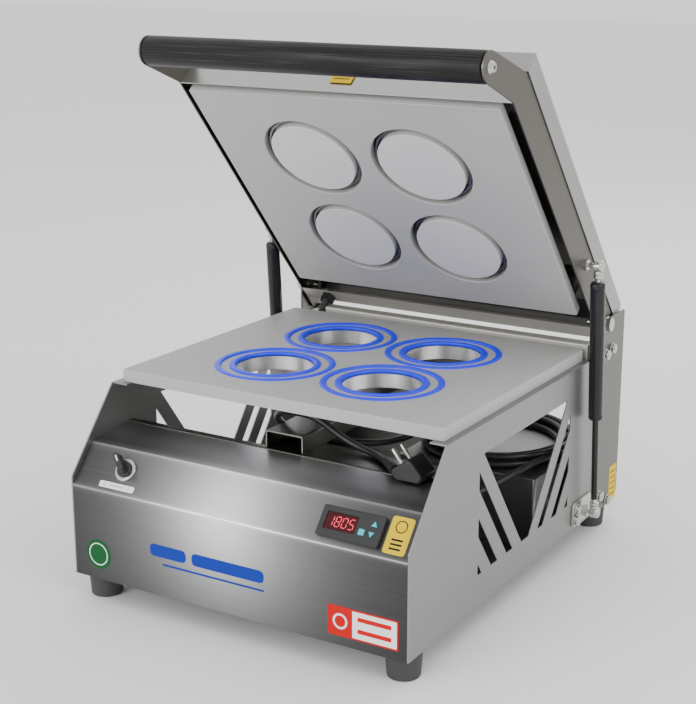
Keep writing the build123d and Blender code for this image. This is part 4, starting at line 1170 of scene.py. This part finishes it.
sticker("corner_sticker_field", "root", white_ink, [
    film(front(188.5, 28.5), right, up, 55, 31, 1, 0.22),
    hoop(front(145.5, 28.5), right, up, 8, 2.4, 0.22),
])
sticker("corner_sticker_bars", "root", red_ink, [
    film(front(188.5, 36), right, up, 42, 5, 1, 0.38), film(front(188.5, 22), right, up, 42, 5, 1, 0.38),
])

# %% Stickers on the lid and the upright
strip_u = 421.0
lid_front = np.array((0, -math.cos(open_angle), math.sin(open_angle)))
strip_place = hinge + lid_front * (strip_u + 1.55) * MM + lid_up * 3.0 * MM
sticker("lid_label", "lid", yellow_ink, [film(strip_place, right, lid_up, 30, 13, 1, 0.05)])
sticker("lid_label_bar", "lid", black_ink, [film(strip_place, right, lid_up, 22, 1.2, 0.4, 0.22)])
back = np.array((0.0, 1.0, 0.0))
upright_place = place(upright_face, 561.5, 27)
sticker("upright_label", "root", yellow_ink, [film(upright_place, back, up, 25, 50, 2, 0.05)])
sticker("upright_label_bars", "root", black_ink, [
    film(upright_place + up * rise * MM, back, up, 17, 1.4, 0.5, 0.22) for rise in (-16, -8, 0, 8, 16)
])

# %% [markdown]
# The display has four seven-segment digits. Each segment is a slim bar, and a table of which bars
# are lit turns a digit into its shape.

# %% Display digits
SEGMENTS = {
    "top": (0, 1, 0), "middle": (0, 0, 0), "bottom": (0, -1, 0),
    "upper_left": (-0.5, 0.5, 1), "upper_right": (0.5, 0.5, 1),
    "lower_left": (-0.5, -0.5, 1), "lower_right": (0.5, -0.5, 1),
}
LIT = {
    "1": "upper_right lower_right", "8": " ".join(SEGMENTS),
    "0": "top bottom upper_left upper_right lower_left lower_right",
    "5": "top middle bottom upper_left lower_right",
}
digit_width = 5.6
digit_rise = 5.6
digit_pitch = 8.6
digit_lean = 0.12
display_face = on_slant(139.2, 26.0) + slant_out * 5.02 * MM
digit_solids = []
for number, digit in enumerate("1805"):
    for segment in LIT[digit].split():
        across_share, up_share, standing = SEGMENTS[segment]
        s = up_share * digit_rise
        x = (number - 1.5) * digit_pitch + across_share * digit_width + s * digit_lean
        spot = display_face + right * x * MM + slant_rise * s * MM
        size = (1.15, digit_rise - 1.0) if standing else (digit_width - 1.2, 1.15)
        digit_solids.append(film(spot, right, slant_rise, *size, 0.5, 0.0, 0.12))
piece("display_digits", "root", digit_red, digit_solids)

# %% Switch pointer
lever_way = (right * -1 + slant_rise) / math.sqrt(2)
knob_top = on_slant(-161.0, 30.4) + slant_out * 16.35 * MM
pointer_place = knob_top + lever_way * 11.5 * MM
piece(
    "switch_pointer", "selector", white_ink,
    [film(pointer_place, lever_way, np.cross(slant_out, lever_way), 9, 1.6, 0.6, 0.0, 0.12)],
)

# %% [markdown]
# ## Floor and light
# The floor is a broad pale sheet. A large soft lamp in front and to the left gives the steel its
# long highlights, one on the right fills the side plates, and one behind picks out the lid.

# %% Floor, lamps and sky
floor_mesh = bpy.data.meshes.new("floor")
reach = 14.0
floor_mesh.from_pydata(
    [(-reach, -reach, 0), (reach, -reach, 0), (reach, reach, 0), (-reach, reach, 0)], [], [(0, 1, 2, 3)]
)
floor = bpy.data.objects.new("floor", floor_mesh)
bpy.context.scene.collection.objects.link(floor)
floor_finish = Finish("floor_sheet")
floor_cloud = floor_finish.noise(1.5)
floor_finish.give(
    Base_Color=floor_finish.tint((0.92, 0.92, 0.92, 1.0), (floor_cloud - 0.5) * 0.03 + 1.0),
    Roughness=0.75,
)
floor_mesh.materials.append(floor_finish.material)


def lamp(name, where, aim, width, height, watts, tone=(1, 1, 1)):
    """A rectangular soft lamp that faces a point."""
    light = bpy.data.lights.new(name, "AREA")
    light.shape = "RECTANGLE"
    light.size = width
    light.size_y = height
    light.energy = watts
    light.color = tone
    made = bpy.data.objects.new(name, light)
    bpy.context.scene.collection.objects.link(made)
    made.location = where
    made.rotation_euler = (Vector(where) - Vector(aim)).to_track_quat("Z", "Y").to_euler()


lamp("key_lamp", (-0.9, -3.0, 1.2), (0, 0, 0.25), 1.8, 1.2, 38)
lamp("side_lamp", (2.8, -0.8, 1.8), (0, 0, 0.25), 1.4, 1.6, 24)
lamp("back_lamp", (0.6, 2.6, 2.4), (0, 0, 0.35), 2.0, 1.0, 30)
sky = bpy.data.worlds.new("sky")
sky.use_nodes = True
sky.node_tree.nodes["Background"].inputs["Color"].default_value = (1.0, 1.0, 1.0, 1.0)
sky.node_tree.nodes["Background"].inputs["Strength"].default_value = 1.2
bpy.context.scene.world = sky
